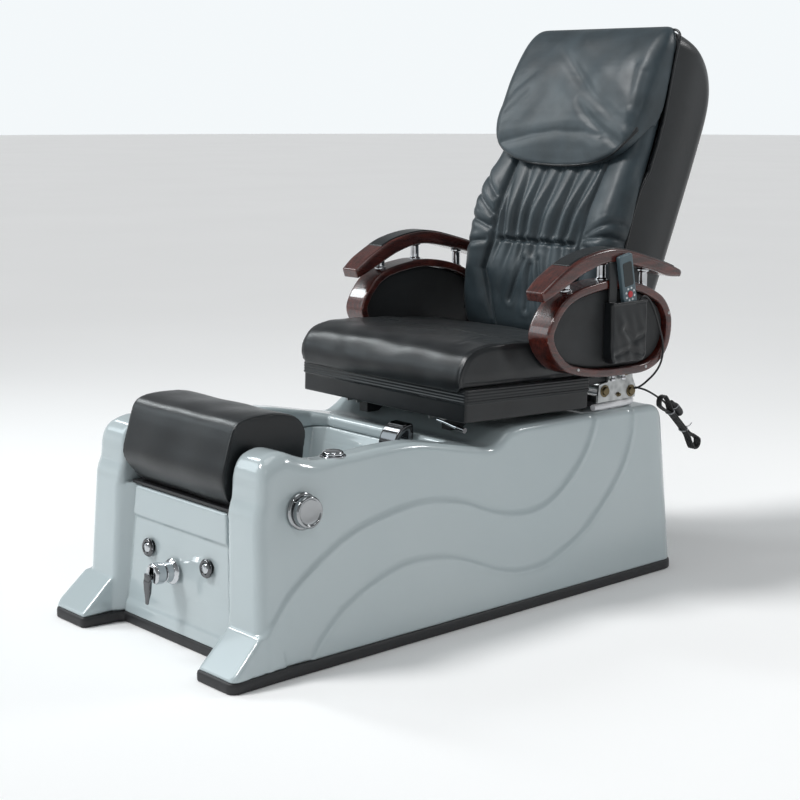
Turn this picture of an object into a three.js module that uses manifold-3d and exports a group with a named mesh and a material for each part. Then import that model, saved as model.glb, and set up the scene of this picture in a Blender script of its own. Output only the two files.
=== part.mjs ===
// A pedicure spa chair: a moulded foot-spa base with a basin, a footrest cushion over its front,
// and a sliding, reclining massage seat on the raised plinth behind.
// Millimetres, +Z up. The sitter faces -Y and +X is the sitter's left. The pieces are placed
// from the middle of the base's footprint, and the whole group is shifted at the end so that the
// origin is under the middle of the chair's bounding box.

import * as THREE from 'three';
import { mergeVertices } from 'three/addons/utils/BufferGeometryUtils.js';
import Module from 'manifold-3d';

const wasm = await Module();
wasm.setup();

// ---------------------------------------------------------------- driving dimensions

const GAP = 0.3; // between faces that touch on the real chair
const ORIGIN_Y = 103; // the bounding box's middle, behind the base's middle

// base moulding
const BASE_HALF_WIDTH = 343;
const BASE_FRONT = -622;
const BASE_REAR = 697;
const SIDE_DRAFT = 0.075;
const FRONT_DRAFT = 0.05;
const REAR_DRAFT = 0.06;
const FRONT_CORNER = 26;
const REAR_CORNER = 46;
const SKIN = 8;
const SKIRT_HEIGHT = 23.7;
const SHELL_BOTTOM = SKIRT_HEIGHT + GAP;
const CUT_TOP = 560; // above everything on the base, for cutters
const FOOT_FRONT = -701;
const FOOT_INNER = 223;
const FOOT_OUTER = 350;
const FOOT_HEIGHT = 98;
const PANEL_TOP = 326;
const DECK = 412; // floor of the sunk deck that carries the slide rails
const TUB_TOP = 373;
const TUB_FLOOR = 165;
const TUB_WALL = 5;
const LOW_TUB_FRONT = 327; // the tub's front edge, under the footrest

// seat
const SEAT_TILT = THREE.MathUtils.degToRad(2.4);
const SEAT_FRONT = -7;
const SEAT_BOTTOM = 458;
const BOX_HALF_WIDTH = 295.5;
const BOX_HEIGHT = 76;
const BOX_DEPTH = 414;
const CUSHION_HALF_WIDTH = 291;
const RAIL_X = 150;
const PLATE_X = 288;
const PLATE_THICK = 5;

// backrest, in its own frame: s runs up the back and t through it, from the recline pivot
const PIVOT_Y = 545;
const PIVOT_Z = 520;
const LEAN = THREE.MathUtils.degToRad(19.3);
const BACK_HALF_WIDTH = 252;
const PIN_RADIUS = 8;

// recline actuator, between the seat frame's rear tube and the back frame's lug tube
const ACTUATOR_Y = 565;
const ACTUATOR_Z = 462;
const ACTUATOR_TUBE_RADIUS = 9;
const LUG_S = 150;
const LUG_T = 75;

// arms
const ARM_INNER = 295;
const ARM_OUTER = 363;
const RING_THICK = 20;
const POST_RADIUS = 11;

// ---------------------------------------------------------------- materials

function material(color, roughness, metalness) {
  return new THREE.MeshStandardMaterial({ color, roughness, metalness });
}
const FINISHES = {
  gelcoat: [0xe9eeee, 0.15, 0],
  rubber: [0x1b1b1c, 0.7, 0],
  vinyl: [0x1c1f24, 0.4, 0],
  wood: [0x3a1310, 0.2, 0],
  chrome: [0xd8dade, 0.08, 1],
  zinc: [0xa9a89c, 0.4, 1],
  steel: [0x2b2c2e, 0.5, 0.6],
  plastic: [0x202124, 0.45, 0],
  handset: [0x5d7480, 0.4, 0],
  red: [0xb5242c, 0.4, 0],
  cord: [0x151516, 0.55, 0],
  board: [0x8a6f4d, 0.7, 0],
  whiteMetal: [0xe6e6ea, 0.3, 0.2],
};

// ---------------------------------------------------------------- geometry helpers

const AXIS_X = new THREE.Vector3(1, 0, 0);
const AXIS_Y = new THREE.Vector3(0, 1, 0);
const AXIS_Z = new THREE.Vector3(0, 0, 1);

// A closed outline through [u, v] corners.
function outline(corners) {
  return new THREE.Shape(corners.map(([u, v]) => new THREE.Vector2(u, v)));
}

function extruded(shape, depth, segments = 6) {
  return new THREE.ExtrudeGeometry(shape, { depth, bevelEnabled: false, curveSegments: segments });
}

// A (y, z) outline run from x0 to x1.
function alongX(shape, x0, x1, segments) {
  const geometry = extruded(shape, x1 - x0, segments);
  geometry.applyMatrix4(new THREE.Matrix4().makeBasis(AXIS_Y, AXIS_Z, AXIS_X));
  return geometry.translate(x0, 0, 0);
}

// An (x, y) outline run from z0 to z1.
function alongZ(shape, z0, z1, segments) {
  return extruded(shape, z1 - z0, segments).translate(0, 0, z0);
}

function block(x0, x1, y0, y1, z0, z1) {
  const geometry = new THREE.BoxGeometry(x1 - x0, y1 - y0, z1 - z0);
  return geometry.translate((x0 + x1) / 2, (y0 + y1) / 2, (z0 + z1) / 2);
}

// A turned piece: [radius, height] corners from the bottom of its axis to the top, standing at
// `at` with its axis along `direction`.
function turned(corners, at = [0, 0, 0], direction = AXIS_Z, sides = 20) {
  const profile = corners.map(([radius, height]) => new THREE.Vector2(radius, height));
  const geometry = new THREE.LatheGeometry(profile, sides);
  const turn = new THREE.Quaternion().setFromUnitVectors(AXIS_Y, direction.clone().normalize());
  return geometry.applyQuaternion(turn).translate(...at);
}

function rod(radius, from, to, sides = 16) {
  const a = new THREE.Vector3(...from);
  const direction = new THREE.Vector3(...to).sub(a);
  const length = direction.length();
  return turned([[0, 0], [radius, 0], [radius, length], [0, length]], from, direction, sides);
}

// A tube along a smooth curve through the points.
function tube(points, radius, sides, steps) {
  const curve = new THREE.CatmullRomCurve3(points.map((p) => new THREE.Vector3(...p)), false, 'centripetal');
  const ring = [];
  for (let i = 0; i < sides; i += 1) {
    const angle = (2 * Math.PI * i) / sides;
    ring.push([radius * Math.cos(angle), radius * Math.sin(angle)]);
  }
  return new THREE.ExtrudeGeometry(outline(ring), { steps, extrudePath: curve, bevelEnabled: false });
}

// A skin over two or more rings of [x, y] corners, each ring at its own height, lowest first.
function loft(rings) {
  const count = rings[0].corners.length;
  const positions = rings.flatMap(({ z, corners }) => corners.flatMap(([x, y]) => [x, y, z]));
  const index = [];
  for (let level = 0; level < rings.length - 1; level += 1) {
    for (let i = 0; i < count; i += 1) {
      const a = level * count + i;
      const b = level * count + ((i + 1) % count);
      index.push(a, b, b + count, a, b + count, a + count);
    }
  }
  const flat = (ring) => ring.corners.map(([x, y]) => new THREE.Vector2(x, y));
  const top = (rings.length - 1) * count;
  for (const [a, b, c] of THREE.ShapeUtils.triangulateShape(flat(rings[0]), [])) {
    index.push(a, c, b);
  }
  for (const [a, b, c] of THREE.ShapeUtils.triangulateShape(flat(rings.at(-1)), [])) {
    index.push(top + a, top + b, top + c);
  }
  const geometry = new THREE.BufferGeometry();
  geometry.setAttribute('position', new THREE.Float32BufferAttribute(positions, 3));
  geometry.setIndex(index);
  return geometry;
}

function mirroredX(corners) {
  return [...corners, ...corners.map(([x, y]) => [-x, y]).reverse()];
}

// Corner points of an arc about (cx, cy), both ends included.
function arc(cx, cy, radius, fromDegrees, toDegrees, segments) {
  const corners = [];
  for (let i = 0; i <= segments; i += 1) {
    const angle = THREE.MathUtils.degToRad(fromDegrees + ((toDegrees - fromDegrees) * i) / segments);
    corners.push([cx + radius * Math.cos(angle), cy + radius * Math.sin(angle)]);
  }
  return corners;
}

// The outline moved inwards by a distance, corner by corner. It is counter-clockwise.
function inset(corners, distance) {
  return corners.map(([x, y], i) => {
    const [px, py] = corners.at(i - 1);
    const [nx, ny] = corners[(i + 1) % corners.length];
    const length = Math.hypot(nx - px, ny - py);
    return [x - (distance * (ny - py)) / length, y + (distance * (nx - px)) / length];
  });
}

function closedCurve(corners, count) {
  const points = corners.map(([u, v]) => new THREE.Vector3(u, v, 0));
  const curve = new THREE.CatmullRomCurve3(points, true, 'centripetal');
  return curve.getPoints(count).slice(0, count).map((p) => [p.x, p.y]);
}

// ---------------------------------------------------------------- solids

// A geometry as a manifold solid: shared corners merged and empty triangles dropped.
function solid(geometry) {
  const bare = geometry.clone();
  for (const name of Object.keys(bare.attributes)) {
    if (name !== 'position') {
      bare.deleteAttribute(name);
    }
  }
  const merged = mergeVertices(bare, 1e-3);
  const index = merged.index.array;
  const kept = [];
  for (let i = 0; i < index.length; i += 3) {
    const [a, b, c] = [index[i], index[i + 1], index[i + 2]];
    if (a !== b && b !== c && c !== a) {
      kept.push(a, b, c);
    }
  }
  return new wasm.Manifold(new wasm.Mesh({
    numProp: 3,
    vertProperties: new Float32Array(merged.attributes.position.array),
    triVerts: new Uint32Array(kept),
  }));
}

function geometryOf(shape) {
  const mesh = shape.getMesh();
  const geometry = new THREE.BufferGeometry();
  geometry.setAttribute('position', new THREE.BufferAttribute(mesh.vertProperties, 3));
  geometry.setIndex(new THREE.BufferAttribute(mesh.triVerts, 1));
  geometry.computeVertexNormals();
  return geometry;
}

function joined(...geometries) {
  return geometries.map(solid).reduce((sum, next) => sum.add(next));
}

function cutFrom(body, ...tools) {
  return tools.map(solid).reduce((rest, tool) => rest.subtract(tool), body);
}

const chair = new THREE.Group();
chair.name = 'pedicure_spa_chair';
chair.position.y = -ORIGIN_Y;

// Adds one named piece, given as a geometry or a solid, to a group.
function piece(name, finish, shape, group = chair) {
  const isGeometry = shape instanceof THREE.BufferGeometry;
  const mesh = new THREE.Mesh(geometryOf(isGeometry ? solid(shape) : shape), material(...FINISHES[finish]));
  mesh.name = name;
  group.add(mesh);
  return mesh;
}

function frameAt(position, rotationX = 0, parent = chair) {
  const group = new THREE.Group();
  group.position.set(...position);
  group.rotation.x = rotationX;
  parent.add(group);
  return group;
}

const SIDES = { right: -1, left: 1 };

// Runs once for each side of the chair: sign is +1 on the sitter's left.
function eachSide(build) {
  for (const [side, sign] of Object.entries(SIDES)) {
    build(side, sign);
  }
}

// The [near, far] pair of x values on one side, lowest first.
function span(sign, a, b) {
  return sign > 0 ? [a, b] : [-b, -a];
}

// ---------------------------------------------------------------- base moulding

// The base's plan at height z, moved inwards by `thickness`.
function basePlan(z, thickness) {
  const half = BASE_HALF_WIDTH - SIDE_DRAFT * z - thickness;
  const front = BASE_FRONT + FRONT_DRAFT * z + thickness;
  const rear = BASE_REAR - REAR_DRAFT * z - thickness;
  const small = FRONT_CORNER - thickness;
  const large = REAR_CORNER - thickness;
  return mirroredX([
    ...arc(half - small, front + small, small, -90, 0, 4),
    ...arc(half - large, rear - large, large, 0, 90, 4),
  ]);
}

// The side view of the base's top: hump over the column, the dip and crest of the basin's rim,
// and the step up to the plinth.
const RIM_PROFILE = [
  [-602, 404], [-595, 442], [-563, 479], [-516, 466], [-468, 442], [-425, 434], [-330, 437],
  [-240, 440], [-157, 437], [-57, 418], [20, 402], [70, 396], [100, 408], [125, 424], [160, 431],
];
const PLINTH_REAR_TOP = [617, 426];
const PLINTH_CORNER = 62;

// The base's side view, its top lowered by `drop`, run across its whole width.
function sideView(drop) {
  const rim = new THREE.SplineCurve(RIM_PROFILE.map(([y, z]) => new THREE.Vector2(y, z - drop)));
  const [rearY, rearZ] = PLINTH_REAR_TOP;
  const corner = arc(rearY, rearZ - PLINTH_CORNER - drop, PLINTH_CORNER, 90, 0, 5);
  const front = RIM_PROFILE[0][0] - 40;
  return alongX(outline([
    [front, 0],
    [front, RIM_PROFILE[0][1] - drop - 4],
    ...rim.getPoints(30).map((p) => [p.x, p.y]),
    ...corner,
    [BASE_REAR + 6, 0],
  ].reverse()), -400, 400);
}

// The recess between the two front columns, grown by `grow`.
function recess(grow) {
  const ring = (z, inner, innerY, outer, outerY) => ({
    z,
    corners: mirroredX([[outer + grow, -800], [outer + grow, outerY], [inner + grow, innerY + grow]]),
  });
  return loft([ring(-1, 212, -595, 225, -625), ring(PANEL_TOP + grow, 176, -573, 221, -612)]);
}

// The opening over the basin, grown by `grow`, from just above the tub upwards.
function basinOpening(grow) {
  const ring = (z, flare) => ({
    z,
    corners: mirroredX([
      [204 + grow + flare / 2, -800], [204 + grow + flare / 2, -505], [233 + grow + flare, -435],
      [233 + grow + flare, -30 + grow], [205 + grow, grow],
    ]),
  });
  return loft([ring(TUB_TOP + 1, 0), ring(CUT_TOP, 24)]);
}

// One front foot: it flares forwards from its column down to the floor.
function foot(sign) {
  const corners = (inner, outer, front) => {
    const right = [[inner, front + 6], [inner + 8, front], ...arc(outer - 16, front + 16, 16, -90, 0, 3),
      [outer, -560], [inner, -560]];
    return sign > 0 ? right : right.map(([x, y]) => [-x, y]).reverse();
  };
  return loft([
    { z: SHELL_BOTTOM, corners: corners(FOOT_INNER, FOOT_OUTER - 2, FOOT_FRONT) },
    { z: 60, corners: corners(FOOT_INNER, FOOT_OUTER - 9, FOOT_FRONT + 46) },
    { z: FOOT_HEIGHT, corners: corners(FOOT_INNER, BASE_HALF_WIDTH - 8, BASE_FRONT + 4) },
  ]);
}

function baseBlock(thickness, drop) {
  const whole = loft([
    { z: thickness ? -5 : SHELL_BOTTOM, corners: basePlan(SHELL_BOTTOM, thickness) },
    { z: CUT_TOP, corners: basePlan(CUT_TOP, thickness) },
  ]);
  return solid(whole).intersect(solid(sideView(drop)));
}

function buildBaseShell() {
  const plinthNose = block(-262, 262, 10, 170, 300, 430);
  const outer = baseBlock(0, 0).add(solid(foot(1))).add(solid(foot(-1))).add(solid(plinthNose));
  const nosePocket = block(-262 + SKIN, 262 - SKIN, 10 + SKIN, 200, 290, 430 - SKIN);
  const lip = basinOpening(SKIN);
  const underDeck = block(-262, 262, 52, 590, DECK - SKIN, CUT_TOP);
  const bay = cutFrom(baseBlock(SKIN, SKIN).add(solid(nosePocket)), lip, recess(SKIN), underDeck);
  return cutFrom(
    outer.subtract(bay),
    recess(0),
    basinOpening(0),
    block(-204, 204, -800, -395, PANEL_TOP + 1, CUT_TOP), // between the columns
    block(-150, 150, -640, -540, 70, 290), // service opening behind the front panel
    block(-254, 254, 60, 582, DECK, CUT_TOP), // sunk deck
  );
}
piece('base_shell', 'gelcoat', buildBaseShell());

// The footprint of the base and its feet, for the skirt round the bottom.
function footprint(grow) {
  return mirroredX([
    [204 - grow, -601 - grow],
    [213 - grow, -616],
    [FOOT_INNER - grow, FOOT_FRONT - grow + 8],
    [FOOT_INNER + 8, FOOT_FRONT - grow],
    ...arc(FOOT_OUTER - 20, FOOT_FRONT + 20, 20 + grow, -80, 0, 4),
    [FOOT_OUTER - 3 + grow, -580],
    ...arc(BASE_HALF_WIDTH - REAR_CORNER, BASE_REAR - REAR_CORNER, REAR_CORNER + grow, 0, 90, 5),
  ]);
}

function buildSkirt() {
  const shape = outline(footprint(3));
  shape.holes.push(new THREE.Path(footprint(-12).map(([x, y]) => new THREE.Vector2(x, y))));
  return alongZ(shape, 0, SKIRT_HEIGHT);
}
piece('rubber_skirt', 'rubber', buildSkirt());

piece('base_board', 'board', block(-326, 326, -570, 640, 4, 20));

// ---------------------------------------------------------------- basin

function tubPlan(z, grow) {
  const share = (z - TUB_FLOOR) / (TUB_TOP - TUB_FLOOR);
  const mix = (low, high) => low + (high - low) * share;
  const wide = mix(170, 228) + grow;
  return mirroredX([
    [mix(150, 198) + grow, mix(-480, -545) - grow], [mix(150, 198) + grow, mix(-450, -500)],
    [wide, mix(-410, -436)], [wide, mix(-120, -30)], [mix(140, 204) + grow, mix(-95, -4) + grow],
  ]);
}

function buildTub() {
  const level = (z, grow) => ({ z, corners: tubPlan(z, grow) });
  const flange = loft([level(TUB_TOP - 6, 15), level(TUB_TOP, 15)]);
  const body = solid(loft([level(TUB_FLOOR - TUB_WALL, TUB_WALL), level(TUB_TOP, TUB_WALL)]));
  return cutFrom(
    body.add(solid(flange)),
    loft([level(TUB_FLOOR, 0), level(TUB_TOP + 20, 0)]),
    block(-197, 197, -700, -395, LOW_TUB_FRONT, TUB_TOP + 20),
    block(-260, 260, -700, -563, TUB_FLOOR, TUB_TOP + 20),
    rod(21.5, [0, -280, 100], [0, -280, 200]),
  );
}
piece('basin_tub', 'gelcoat', buildTub());

// The waste: a flanged body through the tub's floor, and a plug that lifts inside it.
const DRAIN = [0, -280];
piece('drain_body', 'chrome', cutFrom(
  joined(
    turned([
      [0, 60], [20, 60], [20, TUB_FLOOR + GAP],
      [32, TUB_FLOOR + GAP], [32, TUB_FLOOR + 3], [0, TUB_FLOOR + 3],
    ], [...DRAIN, 0]),
    block(-14, 14, DRAIN[1], DRAIN[1] + 120, 66, 94),
  ),
  rod(16, [...DRAIN, 110], [...DRAIN, 200]),
));
piece('drain_popup', 'chrome', turned([
  [0, 125], [4, 125], [4, TUB_FLOOR + 4], [24, TUB_FLOOR + 4], [22, TUB_FLOOR + 9], [0, TUB_FLOOR + 11],
], [...DRAIN, 0]));

// Jets: a domed nozzle on each long wall of the tub.
const WALL_LEAN = (228 - 170) / (TUB_TOP - TUB_FLOOR);
eachSide((side, sign) => {
  const height = 250;
  const wallX = 170 + WALL_LEAN * (height - TUB_FLOOR);
  const inwards = new THREE.Vector3(-sign, 0, WALL_LEAN);
  const nozzle = [[0, GAP], [24, GAP], [24, 4], [15, 6], [12, 12], [0, 13]];
  piece(`jet_${side}`, 'chrome', turned(nozzle, [sign * wallX, -230, height], inwards, 16));
});

// The waterfall spout arches out of the plinth's riser over the back of the basin.
function buildSpout() {
  const arch = outline([
    [9, 392], [9, 428], [-6, 430], [-24, 425], [-38, 412], [-46, 396], [-49, 380], [-41, 380],
    [-37, 391], [-28, 403], [-16, 412], [-6, 416], [-5, 392],
  ].reverse());
  return alongX(arch, -30, 30);
}
const SPOUT_X = 84;
piece('spout', 'chrome', buildSpout().translate(SPOUT_X, -9 - GAP, 0));

// ---------------------------------------------------------------- front panel and its fittings

const PANEL_THICK = 9.5;
const PANEL_BOTTOM = 27;
const PANEL_TILT = Math.atan2(22, PANEL_TOP);
const panelBack = (z) => -595 + (22 * z) / PANEL_TOP - GAP;
const panelFace = (z) => panelBack(z) - PANEL_THICK;

const BUTTON_Z = 194;
const BUTTON_X = 112;
const MIXER_X = -16;
const MIXER_Z = 160;
const PANEL_OUT = new THREE.Vector3(0, -Math.cos(PANEL_TILT), Math.sin(PANEL_TILT));

function buildPanel() {
  const ring = (z, half) => ({
    z,
    corners: [[-half, panelFace(z)], [half, panelFace(z)], [half, panelBack(z)], [-half, panelBack(z)]],
  });
  const through = (x, z, radius) => rod(radius, [x, panelFace(z) - 30, z], [x, panelFace(z) + 60, z], 20);
  return cutFrom(
    solid(loft([ring(PANEL_BOTTOM, 207), ring(120, 193), ring(PANEL_TOP, 174)])),
    through(BUTTON_X, BUTTON_Z, 15.5),
    through(-BUTTON_X, BUTTON_Z, 15.5),
    through(MIXER_X, MIXER_Z, 17),
  );
}
piece('front_panel', 'gelcoat', buildPanel());

// Air buttons: a chrome bezel clamped in the panel, and a domed button that pushes in.
eachSide((side, sign) => {
  const at = [sign * BUTTON_X, panelFace(BUTTON_Z), BUTTON_Z];
  piece(`air_bezel_${side}`, 'chrome', turned([
    [0, -30], [14, -30], [14, GAP], [20, GAP], [20, 4], [16.5, 7], [12.5, 7], [12.5, -22], [0, -22],
  ], at, PANEL_OUT));
  piece(`air_button_${side}`, 'chrome', turned([
    [0, -10], [12, -10], [12, 7], [9, 10], [0, 11.5],
  ], at, PANEL_OUT, 16));
});

// Mixer tap: a fixed barrel, a cap that turns on it, and a lever that tilts in the cap.
const MIXER_AT = [MIXER_X, panelFace(MIXER_Z), MIXER_Z];
piece('mixer_body', 'chrome', turned([
  [0, -40], [15, -40], [15, GAP], [27, GAP], [27, 5], [22, 8], [22, 26], [0, 26],
], MIXER_AT, PANEL_OUT, 24));
const CAP_START = 26.6;
const CAP_END = 56;
const LEVER_DEPTH = 44;
const leverY = MIXER_AT[1] - LEVER_DEPTH;
const CAP_PROFILE = [[0, CAP_START], [24, CAP_START], [24, 50], [19, CAP_END], [0, CAP_END]];
piece('mixer_cap', 'chrome', cutFrom(
  solid(turned(CAP_PROFILE, MIXER_AT, PANEL_OUT, 24)),
  block(MIXER_X - 8.5, MIXER_X + 8.5, leverY - 40, leverY + 13, MIXER_Z - 40, MIXER_Z + 16),
));
piece('mixer_lever', 'chrome', alongX(outline([
  [leverY + 7, MIXER_Z - 6], [leverY + 7, MIXER_Z + 6], [leverY - 10, MIXER_Z + 10],
  [leverY - 16, MIXER_Z + 2], [leverY - 18, MIXER_Z - 30],
  [leverY - 26, MIXER_Z - 62], [leverY - 20, MIXER_Z - 64],
  [leverY - 10, MIXER_Z - 36], [leverY - 8, MIXER_Z - 10],
]), MIXER_X - 7, MIXER_X + 7));

// Waste knob on the outer side wall: a chrome flange and the turning knob.
const KNOB_Y = -492;
const KNOB_Z = 343;
const KNOB_AT = [BASE_HALF_WIDTH - SIDE_DRAFT * KNOB_Z, KNOB_Y, KNOB_Z];
const WALL_OUT = new THREE.Vector3(1, 0, SIDE_DRAFT);
piece('drain_bezel', 'chrome', turned([
  [0, GAP], [40, GAP], [39, 6], [33, 9], [31, 6], [8, 6], [8, 12], [0, 12],
], KNOB_AT, WALL_OUT, 28));
piece('drain_knob', 'chrome', turned([
  [0, 12.5], [10, 12.5], [10, 8], [28, 8], [29, 20], [26, 27], [18, 29], [0, 28],
], KNOB_AT, WALL_OUT, 28));

// Air regulator on the near rim of the basin.
piece('rim_air_knob', 'chrome', turned([
  [0, 1], [23, 1], [23, 6], [18, 10], [9, 12], [0, 12],
], [271, -372, 435.5], AXIS_Z, 24));

// ---------------------------------------------------------------- footrest

// The board rests on the tub's low front edge, and a rib under it stops it sliding.
const BOARD_BOTTOM = LOW_TUB_FRONT + GAP;
const CUSHION_BOTTOM = 334;
piece('footrest_base', 'plastic', joined(
  block(-192, 192, -578, -400, BOARD_BOTTOM, CUSHION_BOTTOM - GAP),
  block(-168, 168, -518, -506, BOARD_BOTTOM - 22, BOARD_BOTTOM + 1),
));

function buildFootrestCushion() {
  const profile = outline([
    [-398, CUSHION_BOTTOM], [-390, 426], [-383, 480], [-430, 524], [-500, 527], [-555, 521], [-572, 508],
    [-603, 410], [-590, 370], [-558, CUSHION_BOTTOM],
  ]);
  const ends = loft([
    { z: CUSHION_BOTTOM - 1, corners: mirroredX([[172, -700], [172, -300]]) },
    { z: 400, corners: mirroredX([[192, -700], [192, -300]]) },
    { z: 540, corners: mirroredX([[192, -700], [192, -300]]) },
  ]);
  return solid(alongX(profile, -200, 200)).intersect(solid(ends));
}
piece('footrest_cushion', 'vinyl', buildFootrestCushion());

// ---------------------------------------------------------------- inside the plinth

const PUMP_Y = 260;
piece('circulation_pump', 'plastic', joined(
  rod(62, [-150, PUMP_Y, 100], [20, PUMP_Y, 100], 20),
  rod(78, [20, PUMP_Y, 106], [78, PUMP_Y, 106], 24),
  rod(24, [78, PUMP_Y, 106], [118, PUMP_Y, 106], 14),
  rod(24, [48, PUMP_Y, 150], [48, PUMP_Y, 215], 14),
  block(-140, 60, PUMP_Y - 50, PUMP_Y + 50, 20 + GAP, 60),
));

// The control box on the deck, and the tapered gland that the mains lead leaves it by.
const CONTROL_REAR = 515;
const GLAND_LENGTH = 30;
const LEAD_X = 205;
const LEAD_Z = 430;
piece('control_box', 'plastic', block(120, 232, 458, CONTROL_REAR, DECK + GAP, 445));
piece('power_gland', 'rubber', turned([
  [0, GAP], [8.5, GAP], [8.5, 5], [7, 6], [4.5, GLAND_LENGTH], [0, GLAND_LENGTH],
], [LEAD_X, CONTROL_REAR, LEAD_Z], AXIS_Y, 14));

// White painted tube bent round the back of the plinth's top, which the seat frame rides over.
const DECK_RAIL_Z = 438.5;
piece('deck_rail', 'whiteMetal', tube([
  [290, 427, DECK_RAIL_Z], [290, 450, DECK_RAIL_Z], [290, 500, DECK_RAIL_Z], [290, 540, DECK_RAIL_Z],
  [282, 572, DECK_RAIL_Z], [262, 594, DECK_RAIL_Z], [230, 602, DECK_RAIL_Z], [120, 602, DECK_RAIL_Z],
  [0, 602, DECK_RAIL_Z], [-120, 602, DECK_RAIL_Z], [-230, 602, DECK_RAIL_Z], [-262, 594, DECK_RAIL_Z],
  [-282, 572, DECK_RAIL_Z], [-290, 540, DECK_RAIL_Z], [-290, 500, DECK_RAIL_Z],
  [-290, 450, DECK_RAIL_Z], [-290, 427, DECK_RAIL_Z],
], 8, 10, 44));

// ---------------------------------------------------------------- seat

// Its own frame: u runs back from the front edge of the seat box, v up from the box's bottom.
const seat = frameAt([0, SEAT_FRONT, SEAT_BOTTOM], -SEAT_TILT);

// A (y, z) point of the chair in the seat's own (u, v).
function seatPoint(y, z) {
  const local = new THREE.Vector2(y - SEAT_FRONT, z - SEAT_BOTTOM);
  local.rotateAround(new THREE.Vector2(), SEAT_TILT);
  return [local.x, local.y];
}

// Fixed rails stand on the deck, cut to the seat's tilt.
eachSide((side, sign) => {
  const [x0, x1] = span(sign, RAIL_X - 15, RAIL_X + 15);
  const profile = outline([seatPoint(70, DECK + GAP), seatPoint(418, DECK + GAP), [425, -4.5], [77, -4.5]]);
  piece(`slide_rail_${side}`, 'steel', alongX(profile, x0, x1), seat);
});

// The welded seat frame: two channels over the rails, cross bars, side plates with the recline
// pins, and the tube that the actuator hangs on.
function buildSeatFrame() {
  const pieces = [];
  for (const sign of [-1, 1]) {
    const channel = outline([[-20, -14], [-16.5, -14], [-16.5, -3.8], [16.5, -3.8], [16.5, -14], [20, -14],
      [20, -0.4], [-20, -0.4]]);
    const run = extruded(channel, 390);
    run.applyMatrix4(new THREE.Matrix4().makeBasis(AXIS_X, AXIS_Z, new THREE.Vector3(0, -1, 0)));
    pieces.push(run.translate(sign * RAIL_X, 430, 0));
    const plate = outline([
      seatPoint(441, 449), seatPoint(578, 449), seatPoint(580, 476), seatPoint(568, 500), seatPoint(566, 530),
      seatPoint(550, 545), seatPoint(490, 552), seatPoint(477, 540), seatPoint(477, 497), seatPoint(445, 493),
    ]);
    pieces.push(alongX(plate, ...span(sign, PLATE_X, PLATE_X + PLATE_THICK)));
    const [pinY, pinZ] = seatPoint(PIVOT_Y, PIVOT_Z);
    pieces.push(rod(PIN_RADIUS, [sign * 250, pinY, pinZ], [sign * (PLATE_X + 2), pinY, pinZ]));
  }
  const [rearY, rearZ] = seatPoint(ACTUATOR_Y, ACTUATOR_Z);
  pieces.push(rod(ACTUATOR_TUBE_RADIUS, [-PLATE_X - 2, rearY, rearZ], [PLATE_X + 2, rearY, rearZ]));
  const betweenChannels = RAIL_X - 18;
  pieces.push(block(-betweenChannels, betweenChannels, 60, 90, -8, -0.4));
  pieces.push(block(-betweenChannels, betweenChannels, 370, 400, -8, -0.4));
  pieces.push(block(-RAIL_X - 20, RAIL_X + 20, 429, 462, -3.4, 12));
  pieces.push(block(-PLATE_X - 2, PLATE_X + 2, 446, 462, 9, 27));
  return joined(...pieces);
}
piece('seat_frame', 'zinc', buildSeatFrame(), seat);

piece('seat_base_box', 'vinyl', block(-BOX_HALF_WIDTH, BOX_HALF_WIDTH, 0, BOX_DEPTH, 0, BOX_HEIGHT), seat);

function buildSeatCushion() {
  const profile = outline([
    [-8, BOX_HEIGHT + 0.5], [466, BOX_HEIGHT + 0.5], [462, 148], [446, 160], [300, 172], [120, 176],
    [20, 170], [-8, 150], [-14, 112],
  ]);
  return alongX(profile, -CUSHION_HALF_WIDTH, CUSHION_HALF_WIDTH);
}
piece('seat_cushion', 'vinyl', buildSeatCushion(), seat);

// Slide release: a rod under the seat's front corner, pulled forwards to free the slide.
const LEVER_PIVOT = [196, 14, -9];
piece('slide_lever', 'chrome', joined(
  rod(9, [LEVER_PIVOT[0], LEVER_PIVOT[1], -14], [LEVER_PIVOT[0], LEVER_PIVOT[1], -1.5]),
  rod(4, LEVER_PIVOT, [262, 14, -17], 12),
  rod(6.5, [258, 14, -16.5], [280, 14, -19], 12),
), seat);

// ---------------------------------------------------------------- arms

const RING_OUTLINE = closedCurve([
  [191, 649], [205, 601], [247, 560], [300, 541], [368, 530], [450, 526], [532, 526], [587, 546],
  [621, 588], [628, 648], [603, 695], [561, 722], [500, 744], [420, 757], [354, 754], [276, 738],
  [226, 706],
], 44);
const ARM_TOP_LINE = new THREE.SplineCurve([[174, 745], [224, 779], [307, 817], [418, 831], [538, 806],
  [653, 769], [669, 757]].map((p) => new THREE.Vector2(...p)));
const ARM_UNDER_LINE = new THREE.SplineCurve([[664, 746], [615, 752], [540, 774], [412, 798], [325, 784],
  [245, 750], [182, 722]].map((p) => new THREE.Vector2(...p)));

function ringGeometry(x0, x1) {
  const shape = outline(RING_OUTLINE);
  const opening = inset(RING_OUTLINE, RING_THICK).reverse();
  shape.holes.push(new THREE.Path(opening.map(([y, z]) => new THREE.Vector2(y, z))));
  return alongX(shape, x0, x1);
}

function armTopGeometry(x0, x1) {
  const corners = [...ARM_TOP_LINE.getPoints(20), ...ARM_UNDER_LINE.getPoints(18)];
  return alongX(new THREE.Shape(corners.reverse()), x0, x1);
}

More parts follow.
